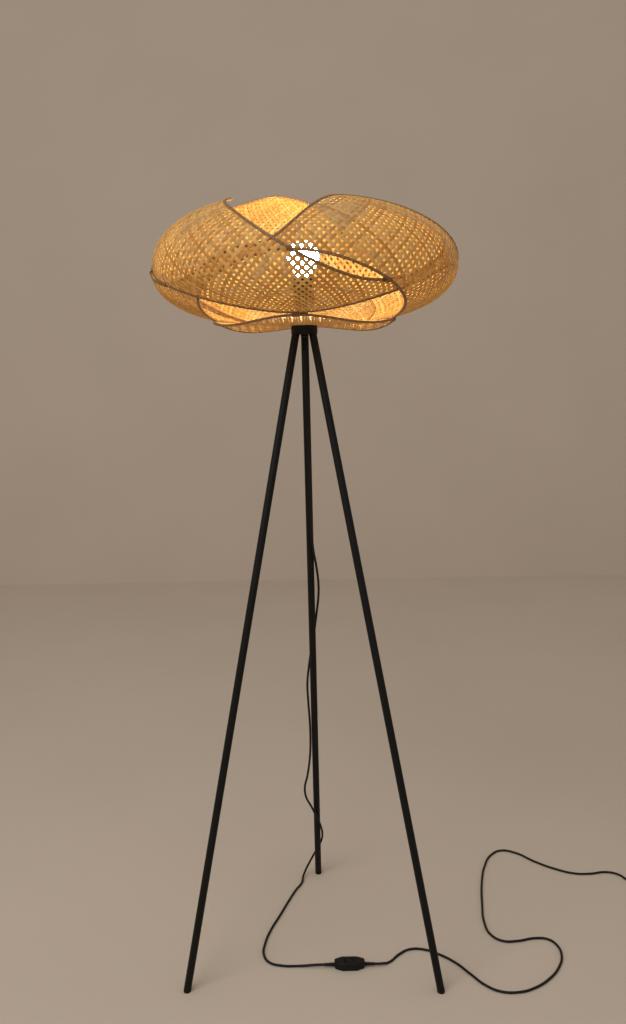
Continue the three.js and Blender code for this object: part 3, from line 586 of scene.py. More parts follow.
# Lamp holder. The usual three parts: a black moulded cap on the threaded tube, a porcelain insert
# with the brass screw shell and spring contact, and a black shell that screws over both.
holder_radius = 20.0
holder_wall = 2.0
holder_foot_radius = 13.0
holder_cap_height = 26.0
holder_shell_height = 38.0
holder_threads = 8
thread_pitch = 3.6
insert_height = 11.0
insert_ledge = 4.0
screw_shell_radius = 14.8
cap_top = holder_foot + holder_cap_height
insert_foot = cap_top - insert_height - insert_ledge
insert_top = insert_foot + insert_height
holder_top = cap_top + seat_gap + holder_shell_height
holder_inside = holder_radius - holder_wall

moulded = clouded(
    "moulded_black", {"Specular IOR Level": 0.2}, (60.0, 4.0),
    ((0.005, 0.005, 0.005), (0.011, 0.0105, 0.010)),
    roughness=(0.30, 0.2), depth=0.04, stipple=(1300.0, 2.0))
porcelain = clouded(
    "porcelain", {"Roughness": 0.3, "Coat Weight": 0.5}, (90.0, 4.0),
    ((0.72, 0.70, 0.66), (0.82, 0.81, 0.78)), depth=0.05)
brass = clouded(
    "brass", {"Metallic": 1.0}, (150.0, 5.0), ((0.62, 0.42, 0.16), (0.78, 0.58, 0.27)),
    roughness=(0.22, 0.25), depth=0.03)
porcelain.give(cad_nodes["holder_insert"])
brass.give(cad_nodes["screw_shell"], cad_nodes["centre_contact"])

middle = holder_foot + holder_cap_height / 2
inner_floor = insert_foot - seat_gap
cap_floor = holder_foot + holder_wall
turned_part("holder_cap_moulded", "holder_cap", moulded, [
    (tube_bore, holder_foot), *near(holder_foot_radius, holder_foot, (1, 0), (0, 1), (-2.2, 3)),
    *near(holder_radius, middle, (2, -4), (0.4, -1.6), (0, 0)),
    *near(holder_radius, cap_top, (0, -4.4), (0.7, -4), (0.7, -3.4), (0, -3), (0, 0)),
    (holder_inside, cap_top), (holder_inside, inner_floor),
    (holder_inside - holder_wall * 2, inner_floor), (holder_foot_radius - holder_wall, cap_floor),
    (tube_bore, cap_floor)], 64)

screw_bore = screw_shell_radius + 0.4
collar = holder_inside - seat_gap
shell_low = cap_top + seat_gap
insert_clear = insert_top + seat_gap
thread = ribs(
    [cap_top + 4 + number * thread_pitch for number in range(holder_threads)],
    lambda low: holder_radius, (0, 0), (0, 1.5), (0.9, 2.1), (0.9, 3))
turned_part("holder_shell_moulded", "holder_shell", moulded, [
    (screw_bore, insert_clear), (collar, insert_clear), (collar, shell_low), (holder_radius, shell_low),
    *thread, *near(holder_radius, holder_top, (0, -holder_wall), (0.5, -0.6), (1.2, 0)),
    (screw_bore, holder_top)], 64)

# Bulb. A frosted glass globe, 60 mm across, on a plated screw cap with a black insulator. It is lit,
# and it lights the shade from inside.
bulb_radius = 30.0
bulb_length = 108.0
bulb_neck_radius = 12.0
bulb_cap_radius = 13.2
bulb_cap_foot = 6.5
bulb_cap_top = 27.0
bulb_cap_threads = 5
bulb_thread_pitch = 2.9
contact_height = 3.0
globe_steps = 20
globe_start = -38 * degree
bulb_tip = insert_top + seat_gap + contact_height + seat_gap
globe_centre = bulb_tip + bulb_length - bulb_radius

frosted = Finish("frosted_glass_lit", {
    "Roughness": 0.35, "Specular IOR Level": 0.5, "Emission Strength": 120.0})
coating = frosted.noise(frosted.place(), 40.0, 3.0)
frosted.surface({
    "Base Color": frosted.between(coating, (0.86, 0.84, 0.79), (0.92, 0.91, 0.88)),
    "Emission Color": frosted.between(coating, (1.0, 0.78, 0.48), (1.0, 0.84, 0.56))})

globe = []
for step in range(globe_steps):
    angle = globe_start + (turn / 4 - globe_start) * step / globe_steps
    globe.append((bulb_radius * math.cos(angle), globe_centre + bulb_radius * math.sin(angle)))
globe_low = globe[0][1]
neck = bulb_tip + bulb_cap_top
turned_part("bulb_globe", "bulb_glass", frosted, [
    (bulb_neck_radius, bulb_tip + 20), *near(bulb_neck_radius, neck, (0, 0), (-0.3, 3), (-1.6, 8)),
    *near(bulb_neck_radius, globe_low, (-4.4, -12), (-7.6, -5.5)), *globe,
    (0, globe_centre + bulb_radius)], 64, hollow=False)

cap_low = bulb_tip + bulb_cap_foot
plated = ribs(
    [cap_low + 1.4 + number * bulb_thread_pitch for number in range(bulb_cap_threads)],
    lambda low: bulb_cap_radius, (0.9, 0), (0.3, 0.6), (0, 1.3), (0.3, 2))
turned_part("bulb_cap_rolled", "bulb_cap", zinc, [
    (bulb_cap_radius - 1, cap_low), *plated,
    *near(bulb_cap_radius, neck, (0.4, -3), (0, -2.4), (0, -0.4), (0.4, 0), (0.8, 0), (0.8, -3), (1.4, -4)),
    (bulb_cap_radius - 1.4, cap_low)], 64)
moulded.give(cad_nodes["bulb_base"])

# Woven shade. Two closed bands of split bamboo lie on one round body, a quarter turn apart, and pass
# over and under each other like petals. Every band is a plain weave of flat strips that run at 45
# degrees and end in its two rims. This is the hardest shape of the lamp.
body_middle = 1415.0
body_reach = 285.1
crown_rise = 133.0
crown_round = 2.05
crown_front_lean = 12.3
crown_back_lean = 35.0
crown_lean_bearing = 103.7 * degree
belly_drop = 112.0
belly_round = 2.35
profile_end = 0.995
upper_rim_height = 1450.1
upper_rim_swing = 78.0
upper_rim_crest = 2.0
upper_rim_bearing = 27.9 * degree
lower_rim_height = 1358.8
lower_rim_swing = 46.8
lower_rim_sag = 6.3
lower_rim_bearing = -4.2 * degree
layer_step = 9.6
layer_bearing = 60.6 * degree
neck_bearing = -46 * degree
rim_depth = 5.0
rim_thickness = 4.0
rim_gap = 0.3
strips_round = 122
strip_width = 5.8
strip_thickness = 1.1
strip_lift = 0.6
strip_station = 3.6
strip_density = 1.3
bearing_step = 0.003
edge_halvings = 12
strip_overlap = 1.0
shortest_strip = 8
scan_step = 2.0
widest_share = 0.58
outline_steps = 200
# Where the weaver pulled an edge up or down: ring, upper edge, bearing, half width, rise
pulled_edges = [
    (1, True, -100, 12, -30), (0, True, -114, 18, 14), (1, True, 74, 24, 66), (1, True, 152, 18, 24),
    (0, True, 68, 16, 40), (0, False, 40.8, 15, -30), (1, False, 40.8, 15, -30),
    (0, False, 130.8, 15, -30), (1, False, 130.8, 15, -30)]
petal_names = [("petal_back_right", "petal_front_left"), ("petal_back_left", "petal_front_right")]


def profile_radius(upright):
    above = upright > body_middle
    rise, roundness = (crown_rise, crown_round) if above else (belly_drop, belly_round)
    reach = min(profile_end, abs(upright - body_middle) / rise)
    return body_reach * (1 - reach ** roundness) ** (1 / roundness)


# Lengths along the body's upright outline, counted from its widest height
outline_heights = []
for count in range(-outline_steps, outline_steps + 1):
    rise = crown_rise if count > 0 else belly_drop
    outline_heights.append(body_middle + rise * profile_end * math.sin(count / outline_steps * turn / 4))
outline_lengths = [0.0]
for lower, upper in zip(outline_heights, outline_heights[1:]):
    piece = math.hypot(upper - lower, profile_radius(upper) - profile_radius(lower))
    outline_lengths.append(outline_lengths[-1] + piece)
outline_lengths = [length - outline_lengths[outline_steps] for length in outline_lengths]


def height_at_length(length):
    place = min(len(outline_lengths) - 2, max(0, bisect.bisect_right(outline_lengths, length) - 1))
    share = (length - outline_lengths[place]) / (outline_lengths[place + 1] - outline_lengths[place])
    return outline_heights[place] + (outline_heights[place + 1] - outline_heights[place]) * share


def crown_lean(bearing):
    share = math.cos(bearing - crown_lean_bearing)
    return share * (crown_back_lean if share > 0 else crown_front_lean)


def ring_edges(ring, bearing):
    """Heights of a ring's lower and upper edge at a bearing, and how far the ring stands out there."""
    own = bearing - ring * turn / 4
    below, above = own - lower_rim_bearing, own - upper_rim_bearing
    low = lower_rim_height + lower_rim_swing * math.cos(2 * below) + lower_rim_sag * math.cos(4 * below)
    high = upper_rim_height + upper_rim_swing * math.cos(2 * above) + upper_rim_crest * math.cos(4 * above)
    lean = crown_lean(bearing)
    if lean > 0:
        lean *= (1 + math.cos(2 * above)) / 2
    high += lean
    for pulled_ring, is_upper, middle, width, rise in pulled_edges:
        if pulled_ring == ring:
            away = (bearing / degree - middle + 180) % 360 - 180
            pull = rise * math.exp(-((away / width) ** 2))
            low, high = (low, high + pull) if is_upper else (low + pull, high)
    return low, high, layer_step * math.cos(2 * (own - layer_bearing))


def weave_point(ring, bearing, length):
    height = upright = height_at_length(length)
    if upright > body_middle:
        lean = crown_lean(bearing)
        slope = lean / (crown_rise - crown_front_lean)
        height = min((upright - slope * body_middle) / (1 - slope), upright + max(lean, 0))
    return around(profile_radius(upright) + ring_edges(ring, bearing)[2], bearing, height)


def inside_ring(ring, bearing, length):
    low, high, step = ring_edges(ring, bearing)
    height = weave_point(ring, bearing, length).z
    return min(height - low, high - height)


def close_in(value, low, high, halvings):
    """Halves the span between two places round the one where the value changes its sign."""
    for halving in range(halvings):
        middle = (low + high) / 2
        if value(low) * value(middle) > 0:
            low = middle
        else:
            high = middle
    return low, high


class Strips:
    """Gathers many swept strips, then makes them one mesh object."""

    def __init__(self):
        self.points = []
        self.faces = []
        self.places = []
        self.tones = []

    def add_points(self, station, section):
        """A station is a centre with its two section axes; the section is pairs of lengths."""
        centre, across, out = station
        self.points += [centre + across * u + out * v for u, v in section]

    def join(self, low, high, count, chart, tone):
        """Faces between two rows of points, with their places on the piece's own map."""
        for corner in range(count):
            side = (corner + 1) % count
            self.faces.append((low + corner, low + side, high + side, high + corner))
            self.places += [chart(corner, 0), chart(corner + 1, 0), chart(corner + 1, 1), chart(corner, 1)]
            self.tones.append(tone)

    def sweep(self, stations, section, tone, closed=False):
        first = len(self.points)
        count = len(section)
        rows = len(stations)
        lengths = [0.0]
        for before, after in zip(stations, stations[1:]):
            lengths.append(lengths[-1] + (after[0] - before[0]).length)
        for station in stations:
            self.add_points(station, section)
        for row in range(rows if closed else rows - 1):
            after = (row + 1) % rows
            run = (lengths[row], lengths[after] if after else lengths[row] + 3)
            low, high = first + row * count, first + after * count
            self.join(low, high, count, lambda corner, end: (run[end], corner), tone)
        if not closed:
            for row, order in ((0, -1), (rows - 1, 1)):
                self.faces.append(tuple(first + row * count + corner for corner in range(count))[::order])
                self.places += [(lengths[row], corner) for corner in range(count)][::order]
                self.tones.append(tone)

    def finish(self, name):
        mesh = bpy.data.meshes.new(name)
        mesh.from_pydata([point * mm for point in self.points], [], self.faces)
        chart = mesh.uv_layers.new(name="along")
        for loop, (length, side) in zip(chart.data, self.places):
            loop.uv = (length * mm, side)
        tone = mesh.attributes.new("tone", "FLOAT", "FACE")
        tone.data.foreach_set("value", self.tones)
        mesh.update()
        piece = bpy.data.objects.new(name, mesh)
        bpy.context.collection.objects.link(piece)
        return piece


def flat_section(width, thickness):
    half, quarter, side = width / 2, width / 4, thickness / 2
    return [(-half, 0), (-quarter, -side), (quarter, -side), (half, 0), (quarter, side), (-quarter, side)]


def strip_runs(ring, start, twist):
    """The lengths between which a strip lies inside its ring, with ends exactly on the edges."""
    def depth(length):
        return inside_ring(ring, start + twist * length, length)

    runs = []
    opened = None
    bottom, top = outline_lengths[0], outline_lengths[-1]
    lengths = [bottom + scan_step * count for count in range(int((top - bottom) / scan_step))]
    for before, after in zip(lengths, lengths[1:]):
        if depth(before) * depth(after) > 0:
            continue
        edge = close_in(depth, before, after, edge_halvings)[0]
        if depth(after) > 0:
            opened = edge
        elif opened is not None:
            if edge - opened > shortest_strip:
                runs.append((opened, edge))
            opened = None
    return runs


def strip_station_at(ring, start, twist, length, spacing):
    bearing = start + twist * length
    rise = weave_point(ring, bearing, length + 1) - weave_point(ring, bearing, length - 1)
    right, left = [weave_point(ring, bearing + step, length) for step in (bearing_step, -bearing_step)]
    out = (right - left).cross(rise).normalized()
    ahead = weave_point(ring, bearing + twist, length + 1)
    behind = weave_point(ring, bearing - twist, length - 1)
    along = (ahead - behind).normalized()
    family = 1 if twist > 0 else -1
    lift = family * strip_lift * math.cos(turn * length * abs(twist) / spacing)
    return weave_point(ring, bearing, length) + out * lift, out.cross(along).normalized(), out


def weave_ring(ring, petals):
    spacing = turn / strips_round
    for family in (1, -1):
        twist = family / body_reach
        for number in range(strips_round):
            start = number * spacing
            for low, high in strip_runs(ring, start, twist):
                middle = start + twist * (low + high) / 2 - neck_bearing - ring * turn / 4
                petal = petals[0] if middle % turn < turn / 2 else petals[1]
                count = max(3, math.ceil((high - low) / strip_station * strip_density))
                stations = []
                for step in range(count + 1):
                    length = low - strip_overlap + (high - low + strip_overlap * 2) * step / count
                    stations.append(strip_station_at(ring, start, twist, length, spacing))
                radius = math.hypot(stations[count // 2][0].x, stations[count // 2][0].y)
                pitch = spacing * radius / math.hypot(1, radius / body_reach)
                section = flat_section(min(strip_width, pitch * widest_share), strip_thickness)
                petal.sweep(stations, section, chance.random())


bamboo = Finish("split_bamboo", {"Specular IOR Level": 0.35, "Emission Strength": 0.16})
tone = bamboo.node("ShaderNodeAttribute", {"attribute_name": "tone"}, {}, "Fac")
chart = bamboo.node("ShaderNodeUVMap", {"uv_map": "along"}, {})
length_along = bamboo.node("ShaderNodeSeparateXYZ", {}, {"Vector": chart}, "X")
own_start = bamboo.node("ShaderNodeCombineXYZ", {}, {"X": tone * 40.0, "Z": tone * 17.0})
stretched = bamboo.node(
    "ShaderNodeMapping", {}, {"Vector": chart, "Location": own_start, "Scale": (28, 5, 1)})
fibre = bamboo.noise(stretched, 1.0, 6.0)
joint_spacing = 0.26
joint_place = bamboo.node(
    "ShaderNodeMath", {"operation": "FRACT"}, {0: length_along / joint_spacing + tone * 9.0})
black, white = (0.0, 0.0, 0.0), (1.0, 1.0, 1.0)
joint = bamboo.ramp(joint_place, [(0.485, black), (0.5, white), (0.515, black)])
straw = bamboo.ramp(tone * 0.55 + fibre * 0.5, [
    (0.12, (0.27, 0.135, 0.032)), (0.45, (0.44, 0.25, 0.07)), (0.9, (0.62, 0.41, 0.15))])
# The emission is the bulb's light that comes through the thin strips
bamboo.surface({
    "Base Color": bamboo.between(joint * 0.7, straw, (0.17, 0.09, 0.035)),
    "Roughness": 0.40 + fibre * 0.25,
    "Emission Color": bamboo.between(fibre * 0.6 + tone * 0.4, (0.70, 0.20, 0.012), (1.0, 0.40, 0.06))})
bamboo.relief(fibre - joint * 0.5, 0.12)

chance = random.Random(7)
for ring in (0, 1):
    petals = [Strips(), Strips()]
    weave_ring(ring, petals)
    for strips, node in zip(petals, petal_names[ring]):
        stands_for(strips.finish(node + "_woven"), node, bamboo)

# Rims of the shade. A bar of dark rattan core runs along both edges of each band and is bound to the
# strips with thin cane every 14 mm.
binding_spacing = 14.0
binding_reach = 1.1
little = 0.01
bar_rows = 288
bar_tone = 0.35


def ring_point(ring, bearing, share):
    low, high, step = ring_edges(ring, bearing)
    height = low + (high - low) * share
    lean = crown_lean(bearing)
    lean_share = min(1, max(0, (height - body_middle) / (crown_rise - crown_front_lean)))
    return around(profile_radius(height - lean * lean_share) + step, bearing, height)


def rim_station(ring, upper, bearing):
    share, side = (1, 1) if upper else (0, -1)
    start = min(share, 1 - little)
    rise = ring_point(ring, bearing, start + little) - ring_point(ring, bearing, start)
    travel = ring_point(ring, bearing + little, share) - ring_point(ring, bearing - little, share)
    out = travel.cross(rise).normalized()
    across = out.cross(travel).normalized()
    return ring_point(ring, bearing, share) + across * side * (rim_depth / 2 + rim_gap), across, out


def bar_section(proud=0.0):
    half, side = (rim_depth + proud) / 2, (rim_thickness + proud) / 2
    return [
        (half, -side * 0.5), (half, side * 0.5), (half * 0.6, side), (-half * 0.6, side),
        (-half, side * 0.5), (-half, -side * 0.5), (-half * 0.6, -side), (half * 0.6, -side)]


def bound_bar(strips, station):
    """A bar along a closed path with a narrow band of cane bound round it at even places."""
    path = [station(turn * row / bar_rows) for row in range(bar_rows)]
    strips.sweep(path, bar_section(), bar_tone, closed=True)
    loop_length = sum((a[0] - b[0]).length for a, b in zip(path, path[1:] + path[:1]))
    bands = int(loop_length / binding_spacing)
    for band in range(bands):
        tilt = binding_reach / loop_length * turn
        tone = 0.6 + 0.4 * chance.random()
        first = len(strips.points)
        for side, proud in ((-1, 0.02), (-0.6, 0.9), (0.6, 0.9), (1, 0.02)):
            strips.add_points(station(turn * band / bands + tilt * side), bar_section(proud))
        for row in range(3):
            low = first + row * 8
            strips.join(low, low + 8, 8, lambda corner, end: (corner, row + end), tone)


dark_cane = Finish("dark_cane", {"Specular IOR Level": 0.45})
tone = dark_cane.node("ShaderNodeAttribute", {"attribute_name": "tone"}, {}, "Fac")
grain = dark_cane.noise(dark_cane.place((60, 3, 1), "along"), 1.0, 5.0)
dark_cane.surface({
    "Base Color": dark_cane.ramp(tone * 0.6 + grain * 0.45, [
        (0.15, (0.13, 0.062, 0.022)), (0.55, (0.28, 0.15, 0.056)), (0.95, (0.46, 0.28, 0.115))]),
    "Roughness": 0.34 + grain * 0.3})
dark_cane.relief(grain, 0.1)

for ring in (0, 1):
    for upper in (True, False):
        strips = Strips()
        bound_bar(strips, lambda bearing: rim_station(ring, upper, bearing))
        node = f"rim_{'upper' if upper else 'lower'}_{ring + 1}"
        stands_for(strips.finish(node + "_bound"), node, dark_cane)

# Dish under the shade. A shallow plate of the same plain weave, clamped between two washers, with a
# bound rim that hangs in four low lobes and is lashed to the bands above.
dish_pitch = 12.0
dish_station = 3.4
dish_lobe_drop = 12.0
low_bearing = lower_rim_bearing + turn / 4
rim_low = rim_station(0, False, low_bearing)
rim_low_half = (rim_depth * abs(rim_low[1].z) + rim_thickness * abs(rim_low[2].z)) / 2
dish_rim_radius = math.hypot(rim_low[0].x, rim_low[0].y)
dish_rim_high = rim_low[0].z - rim_low_half - rim_thickness / 2 - rim_gap
dish_radius = dish_rim_radius - rim_depth / 2 - rim_gap


def dish_edge(bearing):
    return dish_rim_high - dish_lobe_drop * (1 - math.cos(4 * (bearing - lower_rim_bearing))) / 2


def dish_point(x, y):
    share = max(0, (math.hypot(x, y) - washer_radius) / (dish_radius - washer_radius))
    return Vector((x, y, dish_floor + (dish_edge(math.atan2(y, x)) - dish_floor) * share * share))


def dish_rim_station(bearing):
    out = around(1, bearing)
    centre = out * dish_rim_radius
    centre.z = dish_edge(bearing)
    return centre, out, Vector((0, 0, -1))


strips = Strips()
section = flat_section(strip_width, strip_thickness)
half_count = int(dish_radius / dish_pitch)
for family in (1, -1):
    along = around(1, turn / 8 * family)
    aside = Vector((-along.y, along.x, 0)) * family
    across = aside.normalized() * family
    for number in range(-half_count, half_count + 1):
        offset = number * dish_pitch
        reach = math.sqrt(max(0, (dish_radius + strip_overlap) ** 2 - (abs(offset) + strip_width / 4) ** 2))
        hole = 0 if number else tube_bore + strip_width / 2
        runs = [(-reach, -hole), (hole, reach)] if hole else [(-reach, reach)]
        for low, high in runs:
            count = math.ceil((high - low) / dish_station)
            stations = []
            for step in range(count + 1):
                place = low + (high - low) * step / count
                flat = aside * offset + along * place
                ahead, behind = [flat + along * shift for shift in (0.5, -0.5)]
                slope = (dish_point(ahead.x, ahead.y) - dish_point(behind.x, behind.y)).normalized()
                out = slope.cross(across)
                lift = family * strip_lift * math.cos(math.pi * (place / dish_pitch + number))
                point = dish_point(flat.x, flat.y) + Vector((0, 0, lift))
                stations.append((point, across, out * (1 if out.z > 0 else -1)))
            strips.sweep(stations, section, chance.random())
stands_for(strips.finish("dish_woven"), "dish", bamboo)
strips = Strips()
bound_bar(strips, dish_rim_station)
stands_for(strips.finish("dish_rim_bound"), "dish_rim", dark_cane)

# Ties. Where the rims of the two bands cross, and at the dish's four low lobes, turns of round cane
# are wound about both bars and hold them together.
cane_radius = 0.9
crossing_spare = 1.2
crossing_turns = 4
crossing_pitch = 2.1
low_turns = 7
low_pitch = 2.2
crossing_steps = 180
crossing_halvings = 30
cane_section = [around(cane_radius, turn * side / 6).xy for side in range(6)]
tie_facets = 20


def wound_tie(name, node, one, other, half_across, turns, pitch):
    """Winds cane about two bars, given as (centre, way) pairs."""
    middle = (one[0] + other[0]) / 2
    between = other[0] - one[0]
    along = (one[1] + other[1] * (1 if one[1].dot(other[1]) > 0 else -1)).normalized()
    tall = (between - along * between.dot(along)).normalized()
    wide = along.cross(tall)
    half_tall = between.length / 2 + rim_thickness / 2 + cane_radius
    half_wide = half_across + cane_radius
    centres = []
    for step in range(tie_facets * turns + 1):
        angle = turn * step / tie_facets
        round_x, round_y = math.cos(angle), math.sin(angle)
        square = (abs(round_x) ** 3 + abs(round_y) ** 3) ** (-1 / 3)
        shift = along * pitch * (step / tie_facets - turns / 2)
        centres.append(
            middle + shift + wide * half_wide * round_x * square + tall * half_tall * round_y * square)
    path = []
    for step, centre in enumerate(centres):
        before, after = centres[max(0, step - 1)], centres[min(len(centres) - 1, step + 1)]
        out = (centre - middle - along * (centre - middle).dot(along)).normalized()
        path.append((centre, (after - before).cross(out).normalized(), out))
    strips = Strips()
    strips.sweep(path, cane_section, 0.2 + 0.5 * chance.random())
    stands_for(strips.finish(name), node, dark_cane)


def rim_place(ring, upper, bearing):
    """Where a rim lies at a bearing, and which way it runs."""
    after, before = [rim_station(ring, upper, bearing + step)[0] for step in (little, -little)]
    return rim_station(ring, upper, bearing)[0], (after - before).normalized()


def height_over(ring, bearing):
    return rim_station(ring, True, bearing)[0].z - rim_station(1 - ring, False, bearing)[0].z


# Bearings at which a band's upper rim passes the other band's lower rim
crossings = []
for ring in (0, 1):
    for count in range(crossing_steps):
        low, high = [turn * place / crossing_steps for place in (count, count + 1)]
        if height_over(ring, low) * height_over(ring, high) <= 0:
            edges = close_in(lambda bearing: height_over(ring, bearing), low, high, crossing_halvings)
            crossings.append((ring, sum(edges) / 2))
for number, (ring, bearing) in enumerate(crossings, 1):
    wound_tie(
        f"tie_crossing_{number}", f"crossing_pad_{number}", rim_place(ring, True, bearing),
        rim_place(1 - ring, False, bearing), rim_depth / 2 + crossing_spare, crossing_turns, crossing_pitch)
for number in range(4):
    bearing = low_bearing + number * turn / 4
    dish_side = (dish_rim_station(bearing)[0], Vector((-math.sin(bearing), math.cos(bearing), 0)))
    wound_tie(
        f"tie_low_{number + 1}", f"lashing_{number + 1}",
        rim_place(number % 2, False, bearing), dish_side, rim_depth / 2, low_turns, low_pitch)

# Inline switch. Two moulded half shells that taper towards the cord are screwed together round a
# dished rocker on two pins, and ribbed sleeves hold the cord at both ends. The rocker is ON at rest.
switch_width = 27.0
switch_end_width = 12.0
switch_height = 16.0
switch_edge = 1.4
switch_sleeve_radius = 4.2
switch_sleeve_cut = 7.0
sleeve_ribs = 5
sleeve_taper = 0.75
rocker_length = 19.0
rocker_width = 9.6
rocker_rise = 2.6
rocker_depth = 5.0
rocker_curve = 1.6
rocker_columns = 12
rocker_pin_radius = 1.3
rocker_pin_reach = 1.8
rocker_pin_drop = 1.8
rocker_pin_play = 0.08
rocker_hole_reach = 7.0
rocker_edge = 0.5
rocker_tilt = 8 * degree
mark_share = 0.55
mark_bar = (0.9, 3.6, 0.6)
mark_ring = 1.6
mark_wire = 0.4
window_gap = 1.1
window_side_gap = 0.4
shoulder = switch_half_length / 2
rocker_axis = switch_height - rocker_pin_drop
well_floor = rocker_axis - rocker_depth - rocker_rise
switch_place = Matrix.Translation(switch_centre * mm)


def block(name, size, centre):
    deselect()
    bpy.ops.mesh.primitive_cube_add(size=1, location=Vector(centre) * mm, scale=Vector(size) * mm)
    return settle(bpy.context.object, name)


def draw_out(piece, side, run, narrowing, level):
    """Draws a block's end out along X, on one side, and narrows it about a height."""
    edit("DESELECT", "FACE")
    leave()
    for face in piece.data.polygons:
        face.select = face.normal.x * side > 0.9
    edit()
    extrude((side * run * mm, 0, 0))
    bpy.ops.transform.resize(value=narrowing, center_override=(0, 0, level * mm))
    leave()


def tapered_shell(name, low, high, inset):
    """The middle block of a half shell, with both ends drawn out and narrowed."""
    width = switch_width - inset * 2
    narrowing = (1, (switch_end_width - inset * 2) / width, 1)
    piece = block(name, (shoulder * 2, width, high - low), (0, 0, (low + high) / 2))
    for side in (-1, 1):
        draw_out(piece, side, switch_half_length - inset - shoulder, narrowing, low)
    soften(piece, switch_edge, 4)
    window = (rocker_length + window_gap * 2, rocker_width + window_side_gap * 2, switch_height)
    cut_away(piece, block("well", window, (0, 0, well_floor + switch_height / 2)))
    return piece


def sleeve(radius, length, place):
    """A tapered sleeve with ribs that runs along the X axis of its place."""
    tip = radius * sleeve_taper
    pitch = (length - 4) / sleeve_ribs
    sleeve_rings = ribs(
        [2 + rib * pitch for rib in range(sleeve_ribs)],
        lambda low: radius + (tip - radius) * (low + pitch) / length,
        (0.6, 0.3), (0.6, pitch * 0.4), (0, pitch * 0.5), (0, pitch))
    guard = turned("guard", [
        (radius, -3), (radius, 1.5), *sleeve_rings, (tip, length - 0.5), (tip - 0.4, length)], 32)
    soften(guard)
    settle(guard, "guard", turned_about("Y", turn / 4))
    return settle(guard, "guard", place)


def dished(share):
    """Height of the rocker's top above its axis, by the share of the way to its end."""
    return rocker_rise / 2 + rocker_rise / 2 * share ** rocker_curve


base = tapered_shell("switch_base_moulded", 0, switch_split, switch_edge / 2)
cover = tapered_shell("switch_cover_moulded", switch_split + seat_gap, switch_height, 0)
end = switch_half_length + seat_gap
for side in (-1, 1):
    facing = turned_about("Z", 0 if side > 0 else turn / 2)
    guard = sleeve(switch_sleeve_radius, switch_sleeve_length, moved(side * end, 0, switch_split) @ facing)
    above = (side * (end - switch_sleeve_cut / 2), 0, switch_split + switch_height / 2)
    cut_away(guard, block("above", (switch_sleeve_cut, switch_width, switch_height), above))
    cut_away(base, guard, operation="UNION")
for piece in (base, cover):
    settle(piece, piece.name, switch_place)
    soften(piece)
hole_place = Matrix.Translation((switch_centre + Vector((0, 0, rocker_axis))) * mm)
cut_away(cover, rod(
    "hole", rocker_pin_radius + rocker_pin_play, -rocker_hole_reach, rocker_hole_reach, 24,
    hole_place @ turned_about("X", turn / 4)))
soften(cover)
stands_for(base, "switch_base", moulded)
stands_for(cover, "switch_cover", moulded)

# The rocker starts as a grid that is drawn down, then its top is dished and its keel brought to a ridge
deselect()
bpy.ops.mesh.primitive_grid_add(x_subdivisions=rocker_columns, y_subdivisions=2, size=1)
rocker = bpy.context.object
rocker.scale = (rocker_length * mm, rocker_width * mm, 1)
settle(rocker, "rocker_dished")
edit("SELECT")
extrude((0, 0, -rocker_depth * mm))
leave()
for point in rocker.data.vertices:
    share = abs(point.co.x) / (rocker_length / 2 * mm)
    if point.co.z > -rocker_depth / 2 * mm:
        point.co.z = dished(share) * mm
    else:
        point.co.z = (-rocker_depth + (rocker_depth - rocker_depth / 3) * share) * mm
face_outward()
soften(rocker, rocker_edge, 3, 35)
pin_end = rocker_width / 2 + rocker_pin_reach
pins = rod("pins", rocker_pin_radius, -pin_end, pin_end, 24, turned_about("X", turn / 4))
cut_away(rocker, pins, operation="UNION")
mark_place = rocker_length / 2 * mark_share
mark_height = dished(mark_share)
bar = block("bar", mark_bar, (mark_place, 0, mark_height))
deselect()
bpy.ops.mesh.primitive_torus_add(
    major_radius=mark_ring * mm, minor_radius=mark_wire * mm, major_segments=32, minor_segments=8,
    location=(-mark_place * mm, 0, mark_height * mm))
ring_mark = settle(bpy.context.object, "ring_mark")
cut_away(rocker, bar, ring_mark, operation="UNION")
settle(rocker, "rocker_dished", hole_place @ turned_about("Y", rocker_tilt))
soften(rocker)
stands_for(rocker, "switch_rocker", moulded, "rocker")

# Plug. A moulded body with grip ribs and a ribbed sleeve, and two round pins. It lies flat at the end
# of the coil, and a strap holds the coil together.
plug_length = 36.0
plug_width = 34.0
plug_neck_width = 15.0
plug_neck_share = 0.86
plug_shoulder_share = 0.45
plug_edge = 2.6
plug_floor_gap = 0.3
plug_sleeve_length = 20.0
plug_sleeve_radius = 4.6
plug_grooves = 4
plug_groove_pitch = 3.4
plug_groove_start = 3.0
plug_groove_inset = 0.3
plug_pin_radius = 2.0
plug_pin_length = 19.0
plug_pin_spacing = 18.6
plug_pin_seat = 4.0
plug_shoulder = plug_length * plug_shoulder_share
plug_start = plug_sleeve_length - seat_gap
plug_thick = plug_height - plug_floor_gap * 2
plug_middle = plug_height / 2
plug_groove = (1.3, 2.2, plug_thick * 0.7)
plug_place = moved(plug_mouth.x, plug_mouth.y, 0) @ turned_about("Z", math.atan2(plug_way.y, plug_way.x))
body = block(
    "plug_body_moulded", (plug_length - plug_shoulder, plug_width, plug_thick),
    (plug_start + (plug_length + plug_shoulder) / 2, 0, plug_middle))
draw_out(body, -1, plug_shoulder, (1, plug_neck_width / plug_width, plug_neck_share), plug_middle)
soften(body, plug_edge, 5)
for side in (-1, 1):
    for groove in range(plug_grooves):
        along = plug_start + plug_shoulder + plug_groove_start + groove * plug_groove_pitch
        centre = (along, side * (plug_width / 2 + plug_groove_inset), plug_middle)
        cut_away(body, block("groove", plug_groove, centre))
